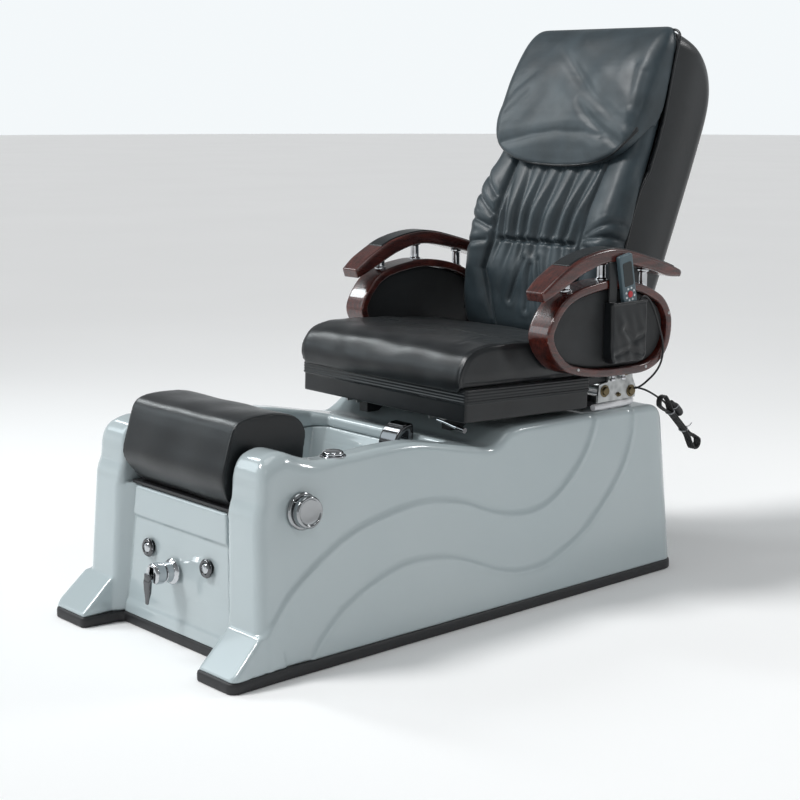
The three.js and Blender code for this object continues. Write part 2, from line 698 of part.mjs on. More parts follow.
const POSTS = { front: [281, 740, 765], middle: [402, 757, 797], rear: [553, 725, 770] };
eachSide((side, sign) => {
  const [x0, x1] = span(sign, ARM_INNER, ARM_OUTER);
  piece(`arm_ring_${side}`, 'wood', ringGeometry(x0, x1));
  const [p0, p1] = span(sign, 312, 350);
  piece(`arm_panel_${side}`, 'vinyl', alongX(outline(inset(RING_OUTLINE, RING_THICK + 1)), p0, p1));
  piece(`arm_top_${side}`, 'wood', armTopGeometry(x0, x1));
  const below = ringGeometry(x0, x1).translate(0, 0, GAP);
  const above = armTopGeometry(x0, x1).translate(0, 0, -GAP);
  for (const [place, [y, low, high]] of Object.entries(POSTS)) {
    const x = (x0 + x1) / 2;
    const post = solid(rod(POST_RADIUS, [x, y, low - 9], [x, y, high + 9]));
    piece(`arm_post_${place}_${side}`, 'chrome', cutFrom(post, below, above));
  }
});

// ---------------------------------------------------------------- handset, pocket and its cord

const HANDSET_LEAN = THREE.MathUtils.degToRad(11);
const HANDSET_AT = [370.8, 467, 652];
const HANDSET_HALF = 7;
const POCKET_X = [350.6, 380.6];
const POCKET_MOUTH = 706;
function buildPocket() {
  const pouch = alongX(outline([
    [386, 575], [394, 561], [500, 559], [512, 572], [514, 702], [388, POCKET_MOUTH],
  ]), ...POCKET_X);
  const mouth = block(360, 378.4, 418, 508, 645, POCKET_MOUTH + 10);
  return cutFrom(solid(pouch), mouth);
}
piece('remote_pocket', 'vinyl', buildPocket());

// The handset stands in the pocket and leans forwards. Its own frame starts at its lower end.
const handset = frameAt(HANDSET_AT, HANDSET_LEAN);
const KEY_HEIGHT = 72;
piece('handset', 'handset', cutFrom(
  solid(alongX(outline([
    [-23, 4], [-19, 0], [19, 0], [23, 4], [23, 162], [18, 168], [-18, 168], [-23, 162],
  ]), -HANDSET_HALF, HANDSET_HALF)),
  rod(9, [HANDSET_HALF - 3, 0, KEY_HEIGHT], [20, 0, KEY_HEIGHT]),
), handset);
const KEY_ENDS = [-1.2, 1.4].map((step) => [HANDSET_HALF + step, 0, KEY_HEIGHT]);
piece('handset_key', 'red', rod(8.5, ...KEY_ENDS), handset);

const HANDSET_CORD = [
  [368, 497, 690], [368, 501, 704], [369, 510, 712], [369, 524, 709], [369, 541, 693], [369, 558, 664],
  [369, 574, 630], [369, 588, 592], [368, 590, 562], [364, 585, 536], [352, 580, 514], [335, 577, 496],
  [320, 573, 482], [307, 569, 474], [295, 566, 471],
];
piece('handset_cord', 'cord', tube(HANDSET_CORD, 2.5, 8, 40));

// ---------------------------------------------------------------- mains lead

// The folded length of the lead, tied as a hank that hangs off the base's rear corner.
const HANK_START = new THREE.Vector3(305.3, 656.4, 439.1);
const HANK_END = new THREE.Vector3(300, 820, 289);
const hankDirection = HANK_END.clone().sub(HANK_START).normalize();
const beforeHank = (distance) => HANK_START.clone().addScaledVector(hankDirection, -distance).toArray();

const POWER_CORD = [
  [LEAD_X, CONTROL_REAR + GLAND_LENGTH + GAP, LEAD_Z], [LEAD_X, 552, LEAD_Z],
  [206, 566, 436], [210, 583, 450], [222, 604, 460],
  [244, 617, 463], [266, 625, 461], [286, 633, 456],
  beforeHank(10), beforeHank(-2),
];
piece('power_cord', 'cord', tube(POWER_CORD, 3, 8, 22));

const HANK_HALF = 11.5;
const HANK_FOLD = 17.5;
function buildHank() {
  const along = HANK_END.clone().sub(HANK_START);
  const length = along.length();
  along.normalize();
  const across = AXIS_X.clone().addScaledVector(along, -along.x).normalize();
  const out = new THREE.Vector3().crossVectors(across, along);
  const end = length - HANK_FOLD;
  const half = [
    [HANK_FOLD + 45, 9], [HANK_FOLD + 15, HANK_FOLD - 1],
    ...arc(HANK_FOLD, 0, HANK_FOLD, 90, 150, 3),
  ];
  const face = outline([
    ...arc(end, 0, HANK_FOLD, -90, 90, 6), [end - 15, HANK_FOLD - 1], [end - 45, 9],
    ...half, ...half.map(([u, v]) => [u, -v]).reverse(), [end - 45, -9], [end - 15, 1 - HANK_FOLD],
  ]);
  const hank = extruded(face, 2 * HANK_HALF).translate(0, 0, -HANK_HALF);
  hank.applyMatrix4(new THREE.Matrix4().makeBasis(along, out, across));
  return hank.translate(...HANK_START.toArray());
}
piece('power_hank', 'cord', buildHank());

// The plug lies on top of the hank beside the first tie.
const hankUp = new THREE.Vector3().crossVectors(AXIS_X, hankDirection).normalize();
const PLUG_START = HANK_START.clone().addScaledVector(hankDirection, 48).addScaledVector(hankUp, 25);
piece('power_plug', 'plastic', turned([
  [0, 0], [5, 0], [8, 14], [14, 22], [14, 50], [10, 54], [0, 54],
], PLUG_START.toArray(), hankDirection, 12));

// ---------------------------------------------------------------- backrest

const back = frameAt([0, PIVOT_Y, PIVOT_Z], -LEAN);
// In this group y is t, through the back, and z is s, up the back.

const SEAM_T = -58;
const BACK_BOTTOM = 62;
const SHELL_WALL = 12;
const SHELL_REAR = [
  [106, 98], [230, 118], [430, 135], [600, 146],
  [700, 148], [764, 134], [812, 100], [842, 44], [852, -20],
];

function backSide(front, grow) {
  const rear = SHELL_REAR.map(([s, t]) => [t + grow, s + (s > 780 ? grow : 0)]);
  return outline([[front, BACK_BOTTOM - grow], [60, 74 - grow], ...rear, [front, 852 + grow]]);
}

function buildBackShell() {
  const outer = solid(alongX(backSide(SEAM_T, 0), -BACK_HALF_WIDTH, BACK_HALF_WIDTH));
  const inner = alongX(backSide(SEAM_T - 20, -SHELL_WALL), -BACK_HALF_WIDTH + SHELL_WALL,
    BACK_HALF_WIDTH - SHELL_WALL);
  return cutFrom(outer, inner, block(-185, 185, 18, 92, 40, 110));
}
piece('back_shell', 'vinyl', buildBackShell(), back);

function buildBackCushion() {
  const front = [[846, -62], [780, -84], [713, -98], [612, -103], [520, -100], [450, -112], [372, -130],
    [300, -130], [216, -118], [140, -100], [BACK_BOTTOM + 4, -78]];
  const corners = [[SEAM_T - 0.5, BACK_BOTTOM], [SEAM_T - 0.5, 850], ...front.map(([s, t]) => [t, s])];
  return alongX(outline(corners), -246, 246);
}
piece('back_cushion', 'vinyl', buildBackCushion(), back);

// The head pad hangs over the front of the cushion from its hinge at the top of the back.
function buildHeadFlap() {
  const outer = [[490, -121], [505, -132], [612, -140], [713, -131], [795, -110], [850, -76], [868, -40]];
  const inner = [[856, -40], [852, -62], [783, -88], [713, -102], [612, -107], [530, -104], [490, -109]];
  return alongX(outline([...outer, ...inner].map(([s, t]) => [t, s]).reverse()), -234, 234);
}
piece('head_flap', 'vinyl', buildHeadFlap(), back);

// The steel frame: pivot ears, a cross tube, two guide rails, the actuator's lug tube and a top bar.
function buildBackFrame() {
  const pieces = [];
  for (const sign of [-1, 1]) {
    const ear = outline([
      [-18, -12], [-10, -18], [12, -18], [24, 0],
      [27, 40], [10, 53], [-6, 44], [-18, 10],
    ]);
    pieces.push(alongX(ear, ...span(sign, 256, 262)));
    pieces.push(block(...span(sign, 150, 166), 30, 60, 28, 765));
    pieces.push(block(...span(sign, 150, 166), 4, 60, 28, 48));
  }
  pieces.push(rod(11, [-258, 10, 38], [258, 10, 38]));
  pieces.push(block(-155, 155, 30, 60, 745, 765));
  pieces.push(rod(6, [-152, LUG_T, LUG_S], [152, LUG_T, LUG_S], 14));
  pieces.push(block(...span(1, 150, 166), 50, 82, LUG_S - 12, LUG_S + 12));
  pieces.push(block(...span(-1, 150, 166), 50, 82, LUG_S - 12, LUG_S + 12));
  return cutFrom(joined(...pieces), rod(PIN_RADIUS + 0.6, [-300, 0, 0], [300, 0, 0]));
}
piece('back_frame', 'steel', buildBackFrame(), back);

// Massage mechanism: a carriage that climbs the rails and a shaft that turns two kneading discs.
const CARRIAGE_S = 430;
const SHAFT_T = -14;
piece('massage_carriage', 'plastic', joined(
  block(-148.5, 148.5, 34, 58, CARRIAGE_S - 40, CARRIAGE_S + 40),
  block(-60, 60, 20, 70, CARRIAGE_S - 34, CARRIAGE_S + 34),
  block(-30, -18, SHAFT_T - 13, 36, CARRIAGE_S - 14, CARRIAGE_S + 14),
  block(18, 30, SHAFT_T - 13, 36, CARRIAGE_S - 14, CARRIAGE_S + 14),
).subtract(solid(rod(6.6, [-70, SHAFT_T, CARRIAGE_S], [70, SHAFT_T, CARRIAGE_S]))), back);
piece('kneading_shaft', 'steel', joined(
  rod(6, [-92, SHAFT_T, CARRIAGE_S], [92, SHAFT_T, CARRIAGE_S]),
  rod(30, [-90, SHAFT_T, CARRIAGE_S], [-70, SHAFT_T, CARRIAGE_S], 20),
  rod(30, [70, SHAFT_T, CARRIAGE_S], [90, SHAFT_T, CARRIAGE_S], 20),
), back);

// ---------------------------------------------------------------- recline actuator

const lug = new THREE.Vector3(0, LUG_T, LUG_S).applyAxisAngle(AXIS_X, -LEAN);
const upper = [PIVOT_Y + lug.y, PIVOT_Z + lug.z];
const reach = Math.hypot(upper[0] - ACTUATOR_Y, upper[1] - ACTUATOR_Z);
const climb = Math.atan2(upper[1] - ACTUATOR_Z, upper[0] - ACTUATOR_Y);
const actuator = frameAt([0, ACTUATOR_Y, ACTUATOR_Z], climb);
// In this group y runs from the lower pivot to the upper one.
const BARREL_END = 128;
piece('recline_tube', 'plastic', cutFrom(
  joined(
    rod(17, [0, 14, 0], [0, BARREL_END, 0], 18),
    alongX(outline(arc(0, 0, 15, 0, 340, 17)), -9, 9),
  ),
  rod(ACTUATOR_TUBE_RADIUS + 0.8, [-20, 0, 0], [20, 0, 0]),
  rod(8, [0, 40, 0], [0, BARREL_END + 5, 0]),
), actuator);
piece('recline_rod', 'chrome', cutFrom(
  joined(
    rod(7, [0, BARREL_END - 50, 0], [0, reach - 8, 0]),
    alongX(outline(arc(reach, 0, 13.5, 0, 340, 17)), -6, 6),
  ),
  rod(9.5, [-20, reach, 0], [20, reach, 0]),
), actuator);

export default chair;
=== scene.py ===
"""The looks of a pedicure spa chair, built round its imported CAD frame.

Shapes are worked out in the chair's own millimetres: x to the sitter's left, y back from the
middle of the base, z up from the floor. row() turns them into the frame's metres.
"""

import math

import bmesh
import bpy
import numpy as np
import openvdb
from mathutils import Matrix, Vector


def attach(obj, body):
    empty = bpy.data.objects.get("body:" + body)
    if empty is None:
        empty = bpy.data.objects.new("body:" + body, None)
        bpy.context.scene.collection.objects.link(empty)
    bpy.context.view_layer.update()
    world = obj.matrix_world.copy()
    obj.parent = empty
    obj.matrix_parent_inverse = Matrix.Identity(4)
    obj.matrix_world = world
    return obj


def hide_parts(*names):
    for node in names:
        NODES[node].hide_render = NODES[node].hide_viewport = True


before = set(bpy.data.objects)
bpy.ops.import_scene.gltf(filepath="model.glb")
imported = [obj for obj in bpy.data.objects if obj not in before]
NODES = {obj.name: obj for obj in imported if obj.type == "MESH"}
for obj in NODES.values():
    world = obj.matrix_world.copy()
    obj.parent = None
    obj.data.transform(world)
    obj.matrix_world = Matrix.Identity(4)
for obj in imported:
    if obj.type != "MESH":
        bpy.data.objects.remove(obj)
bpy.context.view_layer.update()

BASE_Y = -103.0  # the middle of the base, in the frame
SEAT_AT = (-7.0, 458.0)  # y and z of the seat's lower front edge
SEAT_TILT = math.radians(2.4)
PIVOT = (545.0, 520.0)  # y and z of the backrest's hinge
LEAN = math.radians(19.3)

UP = (0, 0, 1)
SIDES = (("left", 1), ("right", -1))


# ---------------------------------------------------------------- places

def row(points):
    """Chair millimetres to the frame's metres."""
    p = np.asarray(points, float)
    return (p + (0, BASE_Y, 0)) / 1000


def in_chair(points):
    return points


def tilted(points, origin, angle):
    """Local (x, back, up) to the chair, for a group leaning back by angle."""
    x, t, s = np.asarray(points, float).T
    c, n = math.cos(angle), math.sin(angle)
    return np.stack([x, origin[0] + t * c + s * n, origin[1] - t * n + s * c], 1)


def on_seat(points):
    return tilted(points, SEAT_AT, SEAT_TILT)


def on_back(points):
    return tilted(points, PIVOT, LEAN)


# ---------------------------------------------------------------- materials

class Shader:
    """A principled material with a few named noise layers on the object's own coordinates."""

    def __init__(self, name, colour, roughness, metallic=0.0, **sockets):
        self.material = bpy.data.materials.new(name)
        self.material.use_nodes = True
        self.nodes = self.material.node_tree.nodes
        self.links = self.material.node_tree.links
        self.principled = self.nodes["Principled BSDF"]
        self.set("Base Color", (*colour, 1))
        self.set("Roughness", roughness)
        self.set("Metallic", metallic)
        for socket, value in sockets.items():
            self.set(socket.replace("_", " "), value)
        self.coordinates = self.nodes.new("ShaderNodeTexCoord").outputs["Object"]
        self.normal = None

    def set(self, socket, value):
        self.principled.inputs[socket].default_value = value

    def stretched(self, scale):
        node = self.nodes.new("ShaderNodeMapping")
        node.inputs["Scale"].default_value = scale
        self.links.new(self.coordinates, node.inputs["Vector"])
        return node.outputs["Vector"]

    def noise(self, scale, detail=3.0, stretch=None, distortion=0.0):
        node = self.nodes.new("ShaderNodeTexNoise")
        node.inputs["Scale"].default_value = scale
        node.inputs["Detail"].default_value = detail
        node.inputs["Distortion"].default_value = distortion
        self.links.new(self.stretched(stretch) if stretch else self.coordinates, node.inputs["Vector"])
        return node.outputs["Fac"]

    def cells(self, scale, feature="DISTANCE_TO_EDGE"):
        node = self.nodes.new("ShaderNodeTexVoronoi")
        node.feature = feature
        node.inputs["Scale"].default_value = scale
        self.links.new(self.coordinates, node.inputs["Vector"])
        return node.outputs["Distance"]

    def ramp(self, value, stops):
        node = self.nodes.new("ShaderNodeValToRGB")
        ramp = node.color_ramp
        while len(ramp.elements) < len(stops):
            ramp.elements.new(0.5)
        for element, (position, colour) in zip(ramp.elements, stops):
            element.position = position
            element.color = (*colour, 1) if len(colour) == 3 else colour
        self.links.new(value, node.inputs["Fac"])
        return node.outputs["Color"]

    def spread(self, value, low, high, socket):
        node = self.nodes.new("ShaderNodeMapRange")
        node.inputs["To Min"].default_value = low
        node.inputs["To Max"].default_value = high
        self.links.new(value, node.inputs["Value"])
        self.links.new(node.outputs["Result"], self.principled.inputs[socket])

    def colour(self, value, stops):
        self.links.new(self.ramp(value, stops), self.principled.inputs["Base Color"])

    def bump(self, value, distance, strength=1.0):
        node = self.nodes.new("ShaderNodeBump")
        node.inputs["Distance"].default_value = distance
        node.inputs["Strength"].default_value = strength
        self.links.new(value, node.inputs["Height"])
        if self.normal:
            self.links.new(self.normal, node.inputs["Normal"])
        self.normal = node.outputs["Normal"]
        self.links.new(self.normal, self.principled.inputs["Normal"])


def make_vinyl(name, dark, light, roughness):
    """Upholstery vinyl: fine pebbled grain, soft creases and a slightly uneven sheen."""
    s = Shader(name, light, roughness, Sheen_Weight=0.06, Sheen_Roughness=0.4)
    s.set("Specular IOR Level", 0.42)
    s.colour(s.noise(14, 4), [(0.3, dark), (0.7, light)])
    s.spread(s.noise(30, 5), roughness - 0.05, roughness + 0.09, "Roughness")
    s.bump(s.noise(30, 4, distortion=0.4), 0.0010, 0.25)
    s.bump(s.cells(620), 0.0004, 0.28)
    return s.material


def make_gelcoat():
    s = Shader("gelcoat", (0.43, 0.495, 0.515), 0.16, Coat_Weight=0.6, Coat_Roughness=0.04)
    s.colour(s.noise(2.2, 3), [(0.3, (0.42, 0.488, 0.508)), (0.7, (0.455, 0.515, 0.53))])
    s.spread(s.noise(9, 4), 0.13, 0.22, "Roughness")
    s.bump(s.noise(26, 2), 0.0006, 0.10)
    return s.material


def make_wood():
    """Dark mahogany under a thick gloss lacquer, its grain running along the arms."""
    s = Shader("mahogany", (0.06, 0.014, 0.009), 0.3, Coat_Weight=0.7, Coat_Roughness=0.05)
    s.colour(
        s.noise(16, 6, stretch=(7, 0.7, 5), distortion=0.8),
        [(0.30, (0.022, 0.003, 0.002)), (0.5, (0.055, 0.008, 0.005)), (0.72, (0.105, 0.018, 0.010))],
    )
    s.spread(s.noise(60, 3, stretch=(12, 1, 12)), 0.22, 0.36, "Roughness")
    s.bump(s.noise(120, 3, stretch=(8, 0.6, 8)), 0.0002, 0.15)
    return s.material


def make_metal(name, colour, roughness, wear):
    s = Shader(name, colour, roughness, 1.0)
    s.spread(s.noise(45, 4), max(roughness - wear, 0.02), roughness + wear, "Roughness")
    s.bump(s.noise(160, 2), 0.0001, 0.08)
    return s.material


def make_plastic(name, colour, roughness, grain=0.2):
    s = Shader(name, colour, roughness)
    s.spread(s.noise(40, 3), roughness - 0.06, roughness + 0.08, "Roughness")
    s.bump(s.cells(900), 0.0003, grain)
    return s.material


def make_board():
    s = Shader("chipboard", (0.26, 0.17, 0.09), 0.75)
    s.colour(s.cells(260, "F1"), [(0.1, (0.33, 0.23, 0.13)), (0.7, (0.17, 0.10, 0.05))])
    s.bump(s.noise(220, 4), 0.0006, 0.4)
    return s.material


def make_zinc():
    s = Shader("zinc_plate", (0.42, 0.43, 0.43), 0.34, 1.0)
    s.colour(s.cells(70, "F1"), [(0.1, (0.34, 0.35, 0.35)), (0.8, (0.50, 0.51, 0.51))])
    s.spread(s.noise(50, 4), 0.28, 0.48, "Roughness")
    s.bump(s.noise(200, 3), 0.0002, 0.2)
    return s.material


GELCOAT = make_gelcoat()
VINYL = make_vinyl("vinyl_black", (0.004, 0.005, 0.006), (0.007, 0.009, 0.011), 0.30)
# The backrest's and head pad's vinyl. Its slate tone is partly the vinyl's own and partly painted light: a
# lighter, bluer copy of the black vinyl that stands in for the front lamps' sheen.
VINYL_SLATE_PAINTED_LIGHT = make_vinyl("vinyl_slate_painted_light", (0.018, 0.028, 0.034), (0.034, 0.050, 0.060), 0.40)
VINYL_PANEL = make_vinyl("vinyl_panel", (0.016, 0.017, 0.018), (0.024, 0.026, 0.028), 0.55)
WOOD = make_wood()
CHROME = make_metal("chrome", (0.56, 0.57, 0.59), 0.06, 0.03)
SATIN = make_metal("satin_chrome", (0.36, 0.37, 0.38), 0.10, 0.03)
BOLT = make_metal("aged_bolt", (0.15, 0.12, 0.07), 0.34, 0.06)
DARK_CHROME = make_metal("dark_chrome", (0.13, 0.13, 0.135), 0.10, 0.03)
ZINC = make_zinc()
WHITE_METAL = make_plastic("white_paint", (0.78, 0.78, 0.80), 0.28, 0.05)
BLACK_METAL = make_plastic("black_paint", (0.020, 0.021, 0.023), 0.42, 0.1)
PLASTIC = make_plastic("black_plastic", (0.016, 0.016, 0.018), 0.45)
RUBBER = make_plastic("rubber", (0.014, 0.014, 0.016), 0.5, 0.3)
HANDSET = make_plastic("handset_plastic", (0.075, 0.115, 0.135), 0.35, 0.08)
SCREEN = make_plastic("handset_screen", (0.012, 0.017, 0.018), 0.12, 0.0)
RED = make_plastic("red_key", (0.42, 0.02, 0.03), 0.35, 0.05)
PALE_KEY = make_plastic("pale_key", (0.55, 0.58, 0.60), 0.4, 0.05)
TIE = make_plastic("tie_plastic", (0.42, 0.43, 0.45), 0.4, 0.05)
CORD = make_plastic("cord_rubber", (0.010, 0.010, 0.011), 0.42, 0.05)
BOARD = make_board()


# ---------------------------------------------------------------- pieces

def adopt(piece, body, material=None, slot=None, stands_for=()):
    """Names the body a piece rides on, its material and the CAD nodes it stands for; the slot is not used.
    """
    if material:
        piece.data.materials.append(material)
    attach(piece, body)
    if stands_for:
        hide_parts(*stands_for)
    return piece


def new_object(name, data):
    piece = bpy.data.objects.new(name, data)
    bpy.context.scene.collection.objects.link(piece)
    return piece


def mesh_of(name, points, faces):
    """A smooth mesh in the frame's metres, from points in chair millimetres."""
    data = bpy.data.meshes.new(name)
    points = row(points)
    if isinstance(faces, np.ndarray):
        data.vertices.add(len(points))
        data.vertices.foreach_set("co", points.astype(np.float32).ravel())
        data.loops.add(faces.size)
        data.loops.foreach_set("vertex_index", faces.astype(np.int32).ravel())
        data.polygons.add(len(faces))
        width = faces.shape[1]
        data.polygons.foreach_set("loop_start", np.arange(0, faces.size, width, dtype=np.int32))
        data.update(calc_edges=True)
        data.validate()
    else:
        data.from_pydata([tuple(p) for p in points], [], faces)
        data.update()
    data.shade_smooth()
    return new_object(name, data)


def smooth(points, per=8, closed=False):
    """A Catmull-Rom curve through the points."""
    p = np.asarray(points, float)
    count = len(p)
    if closed:
        p = np.concatenate([p[-1:], p, p[:2]])
    else:
        p = np.concatenate([2 * p[:1] - p[1:2], p, 2 * p[-1:] - p[-2:-1]])
        count -= 1
    made = []
    for i in range(count):
        a, b, c, d = p[i:i + 4]
        for k in range(per):
            t = k / per
            made.append(0.5 * (2 * b + (c - a) * t + (2 * a - 5 * b + 4 * c - d) * t * t
                               + (3 * b - a - 3 * c + d) * t ** 3))
    if not closed:
        made.append(p[-2])
    return np.array(made)


def arc(centre, radius, start, end, count):
    """Points along an arc, from start to end in degrees."""
    angles = np.radians(np.linspace(start, end, count))
    return [(centre[0] + radius * math.cos(a), centre[1] + radius * math.sin(a)) for a in angles]


def both_sides(half):
    """A closed outline from its half at positive x."""
    return [*half, *[(-a, b) for a, b in half[::-1]]]


def tube(name, points, radius, body, material, slot, per=6, sides=3, **rest):
    """A round tube along a smooth curve, as a Blender curve with a bevel."""
    data = bpy.data.curves.new(name, "CURVE")
    data.dimensions = "3D"
    data.bevel_depth = radius / 1000
    data.bevel_resolution = sides
    data.use_fill_caps = True
    line = row(smooth(points, per)) if per else row(points)
    spline = data.splines.new("POLY")
    spline.points.add(len(line) - 1)
    for point, place in zip(spline.points, line):
        point.co = (*place, 1)
    spline.use_smooth = True
    return adopt(new_object(name, data), body, material, slot, **rest)


def turned(name, profile, at, direction, body, material, slot, sides=48, round_off=0.8, **rest):
    """A turned piece from (radius, height) corners along an axis, its corners rounded a little."""
    corners = [Vector((r, h)) for r, h in profile]
    soft = [corners[0]]
    for before, here, after in zip(corners, corners[1:], corners[2:]):
        a, b = before - here, after - here
        trim = min(round_off, a.length * 0.4, b.length * 0.4)
        if trim < 0.05 or here.x < 0.01:
            soft.append(here)
            continue
        p, q = here + a.normalized() * trim, here + b.normalized() * trim
        for k in range(4):
            t = k / 3
            soft.append(p.lerp(here, t).lerp(here.lerp(q, t), t))
    soft.append(corners[-1])
    turn = Vector(UP).rotation_difference(Vector(direction))
    made = bmesh.new()
    rings = []
    for corner in soft:
        ring = []
        for k in range(sides if corner.x > 1e-6 else 1):
            angle = 2 * math.pi * k / sides
            local = Vector((corner.x * math.cos(angle), corner.x * math.sin(angle), corner.y))
            ring.append(made.verts.new(row(turn @ local + Vector(at))))
        rings.append(ring)
    for low, high in zip(rings, rings[1:]):
        if len(low) == 1 and len(high) == 1:
            continue
        for k in range(sides):
            n = (k + 1) % sides
            if len(low) == 1:
                made.faces.new((low[0], high[n], high[k]))
            elif len(high) == 1:
                made.faces.new((low[k], low[n], high[0]))
            else:
                made.faces.new((low[k], low[n], high[n], high[k]))
    bmesh.ops.recalc_face_normals(made, faces=made.faces)
    data = bpy.data.meshes.new(name)
    made.to_mesh(data)
    made.free()
    data.shade_smooth()
    return adopt(new_object(name, data), body, material, slot, **rest)


# ---------------------------------------------------------------- solid fields

def round_and(a, b, r):
    """Where both fields are solid, with an edge of radius r."""
    return np.minimum(np.maximum(a, b), -r) + np.hypot(np.maximum(a + r, 0), np.maximum(b + r, 0))


def round_or(a, b, r):
    return -round_and(-a, -b, r)


def cut(a, b, r):
    return round_and(a, -b, r)


def step(value, start, end):
    t = np.clip((value - start) / (end - start), 0, 1)
    return t * t * (3 - 2 * t)


def all_of(first, *others):
    """Where every field is solid, with sharp edges."""
    for other in others:
        first = np.maximum(first, other)
    return first


def blend(start, end, t):
    return start * (1 - t) + end * t


def distance(corners, u, v, closed=True):
    """Distance from (u, v) to a run of straight edges."""
    u, v = np.broadcast_arrays(u, v)
    best = np.full(u.shape, 1e12)
    for i in range(0 if closed else 1, len(corners)):
        (u0, v0), (u1, v1) = corners[i - 1], corners[i]
        eu, ev = u1 - u0, v1 - v0
        t = np.clip(((u - u0) * eu + (v - v0) * ev) / (eu * eu + ev * ev + 1e-12), 0, 1)
        best = np.minimum(best, (u - u0 - eu * t) ** 2 + (v - v0 - ev * t) ** 2)
    return np.sqrt(best)


def polygon(corners, u, v):
    """Signed distance to an outline: negative inside it."""
    u, v = np.broadcast_arrays(u, v)
    inside = np.zeros(u.shape, bool)
    for i in range(len(corners)):
        (u0, v0), (u1, v1) = corners[i - 1], corners[i]
        crosses = (v0 <= v) != (v1 <= v)
        inside ^= crosses & (u < u0 + (v - v0) * (u1 - u0) / ((v1 - v0) or 1e-9))
    far = distance(corners, u, v)
    return np.where(inside, -far, far)


def folds(x, y, z, seed, reach, count=7):
    """Soft, repeatable undulation of about unit size: waves of length reach in many directions."""
    rng = np.random.default_rng(seed)
    total = 0
    for _ in range(count):
        direction = rng.normal(size=3)
        direction *= rng.uniform(0.6, 1.7) * 2 * math.pi / reach / np.linalg.norm(direction)
        total = total + np.sin(x * direction[0] + y * direction[1] + z * direction[2] + rng.uniform(0, 7))
    return total / math.sqrt(count)


def sampling(fine):
    return fine


def shell_of(field, low, high, pitch, mirrored=False):
    """Points and faces of a field's surface. A mirrored field is only worked out for x >= 0."""
    if mirrored:
        half = np.arange(0, high[0] + pitch, pitch)
        xs = np.concatenate([-half[:0:-1], half])
        axes = [half]
    else:
        xs = np.arange(low[0], high[0] + pitch, pitch)
        axes = [xs]
    axes += [np.arange(low[k], high[k] + pitch, pitch) for k in (1, 2)]
    x, y, z = np.meshgrid(*axes, indexing="ij", sparse=True)
    value = np.asarray(field(x, y, z), np.float32)
    value = np.broadcast_to(value, [len(a) for a in axes])
    if mirrored:
        value = np.concatenate([value[:0:-1], value])
    band = 3 * pitch
    grid = openvdb.FloatGrid(band)
    grid.copyFromArray(np.clip(value, -band, band))
    points, faces = grid.convertToQuads(0.0)
    return points * pitch + (xs[0], low[1], low[2]), faces


def skin(name, field, low, high, pitch, body, material, slot, place=in_chair, mirrored=False, **rest):
    """A piece that is the surface of a solid field between two corners."""
    points, faces = shell_of(field, low, high, pitch, mirrored)
    return adopt(mesh_of(name, place(points), faces[:, ::-1]), body, material, slot, **rest)


# ---------------------------------------------------------------- camera and light

CAMERA_TURN = 48.4983
CAMERA_DROP = 10.6718
camera = bpy.data.objects.new("camera", bpy.data.cameras.new("camera"))
bpy.context.scene.collection.objects.link(camera)
camera.location = (2.9486, -2.65334, 1.20527)
camera.rotation_euler = (math.radians(90 - CAMERA_DROP), 0, math.radians(CAMERA_TURN))
camera.data.lens = 74.8
camera.data.sensor_width = 36
bpy.context.scene.camera = camera


def soft_box(name, at, target, size, power, colour=(1, 1, 1)):
    light = bpy.data.objects.new(name, bpy.data.lights.new(name, "AREA"))
    bpy.context.scene.collection.objects.link(light)
    light.data.shape = "RECTANGLE"
    light.data.size, light.data.size_y = size
    light.data.energy = power
    light.data.color = colour
    light.location = at
    light.rotation_euler = (Vector(target) - Vector(at)).to_track_quat("-Z", "Y").to_euler()


def make_floor():
    made = bmesh.new()
    bmesh.ops.create_circle(made, cap_ends=True, segments=96, radius=40)
    data = bpy.data.meshes.new("floor")
    made.to_mesh(data)
    made.free()
    floor = new_object("floor", data)
    s = Shader("floor_white", (0.97, 0.97, 0.97), 0.9)
    s.colour(s.noise(0.8, 2), [(0.3, (0.96, 0.96, 0.96)), (0.7, (0.98, 0.98, 0.98))])
    data.materials.append(s.material)


SKY = [(0.07, 0.94), (0.16, 0.38), (0.8, 0.19)]  # height and brightness of the studio's backdrop


def make_sky():
    world = bpy.data.worlds.new("studio")
    bpy.context.scene.world = world
    world.use_nodes = True
    nodes, links = world.node_tree.nodes, world.node_tree.links
    height = nodes.new("ShaderNodeSeparateXYZ")
    links.new(nodes.new("ShaderNodeTexCoord").outputs["Generated"], height.inputs["Vector"])
    ramp = nodes.new("ShaderNodeValToRGB")
    ramp.color_ramp.elements.new(0.2)
    for element, (place, value) in zip(ramp.color_ramp.elements, SKY):
        element.position = place
        element.color = (value * 0.96, value, value * 1.02, 1)
    links.new(height.outputs["Z"], ramp.inputs["Fac"])
    background = nodes["Background"]
    links.new(ramp.outputs["Color"], background.inputs["Color"])
    background.inputs["Strength"].default_value = 1.0


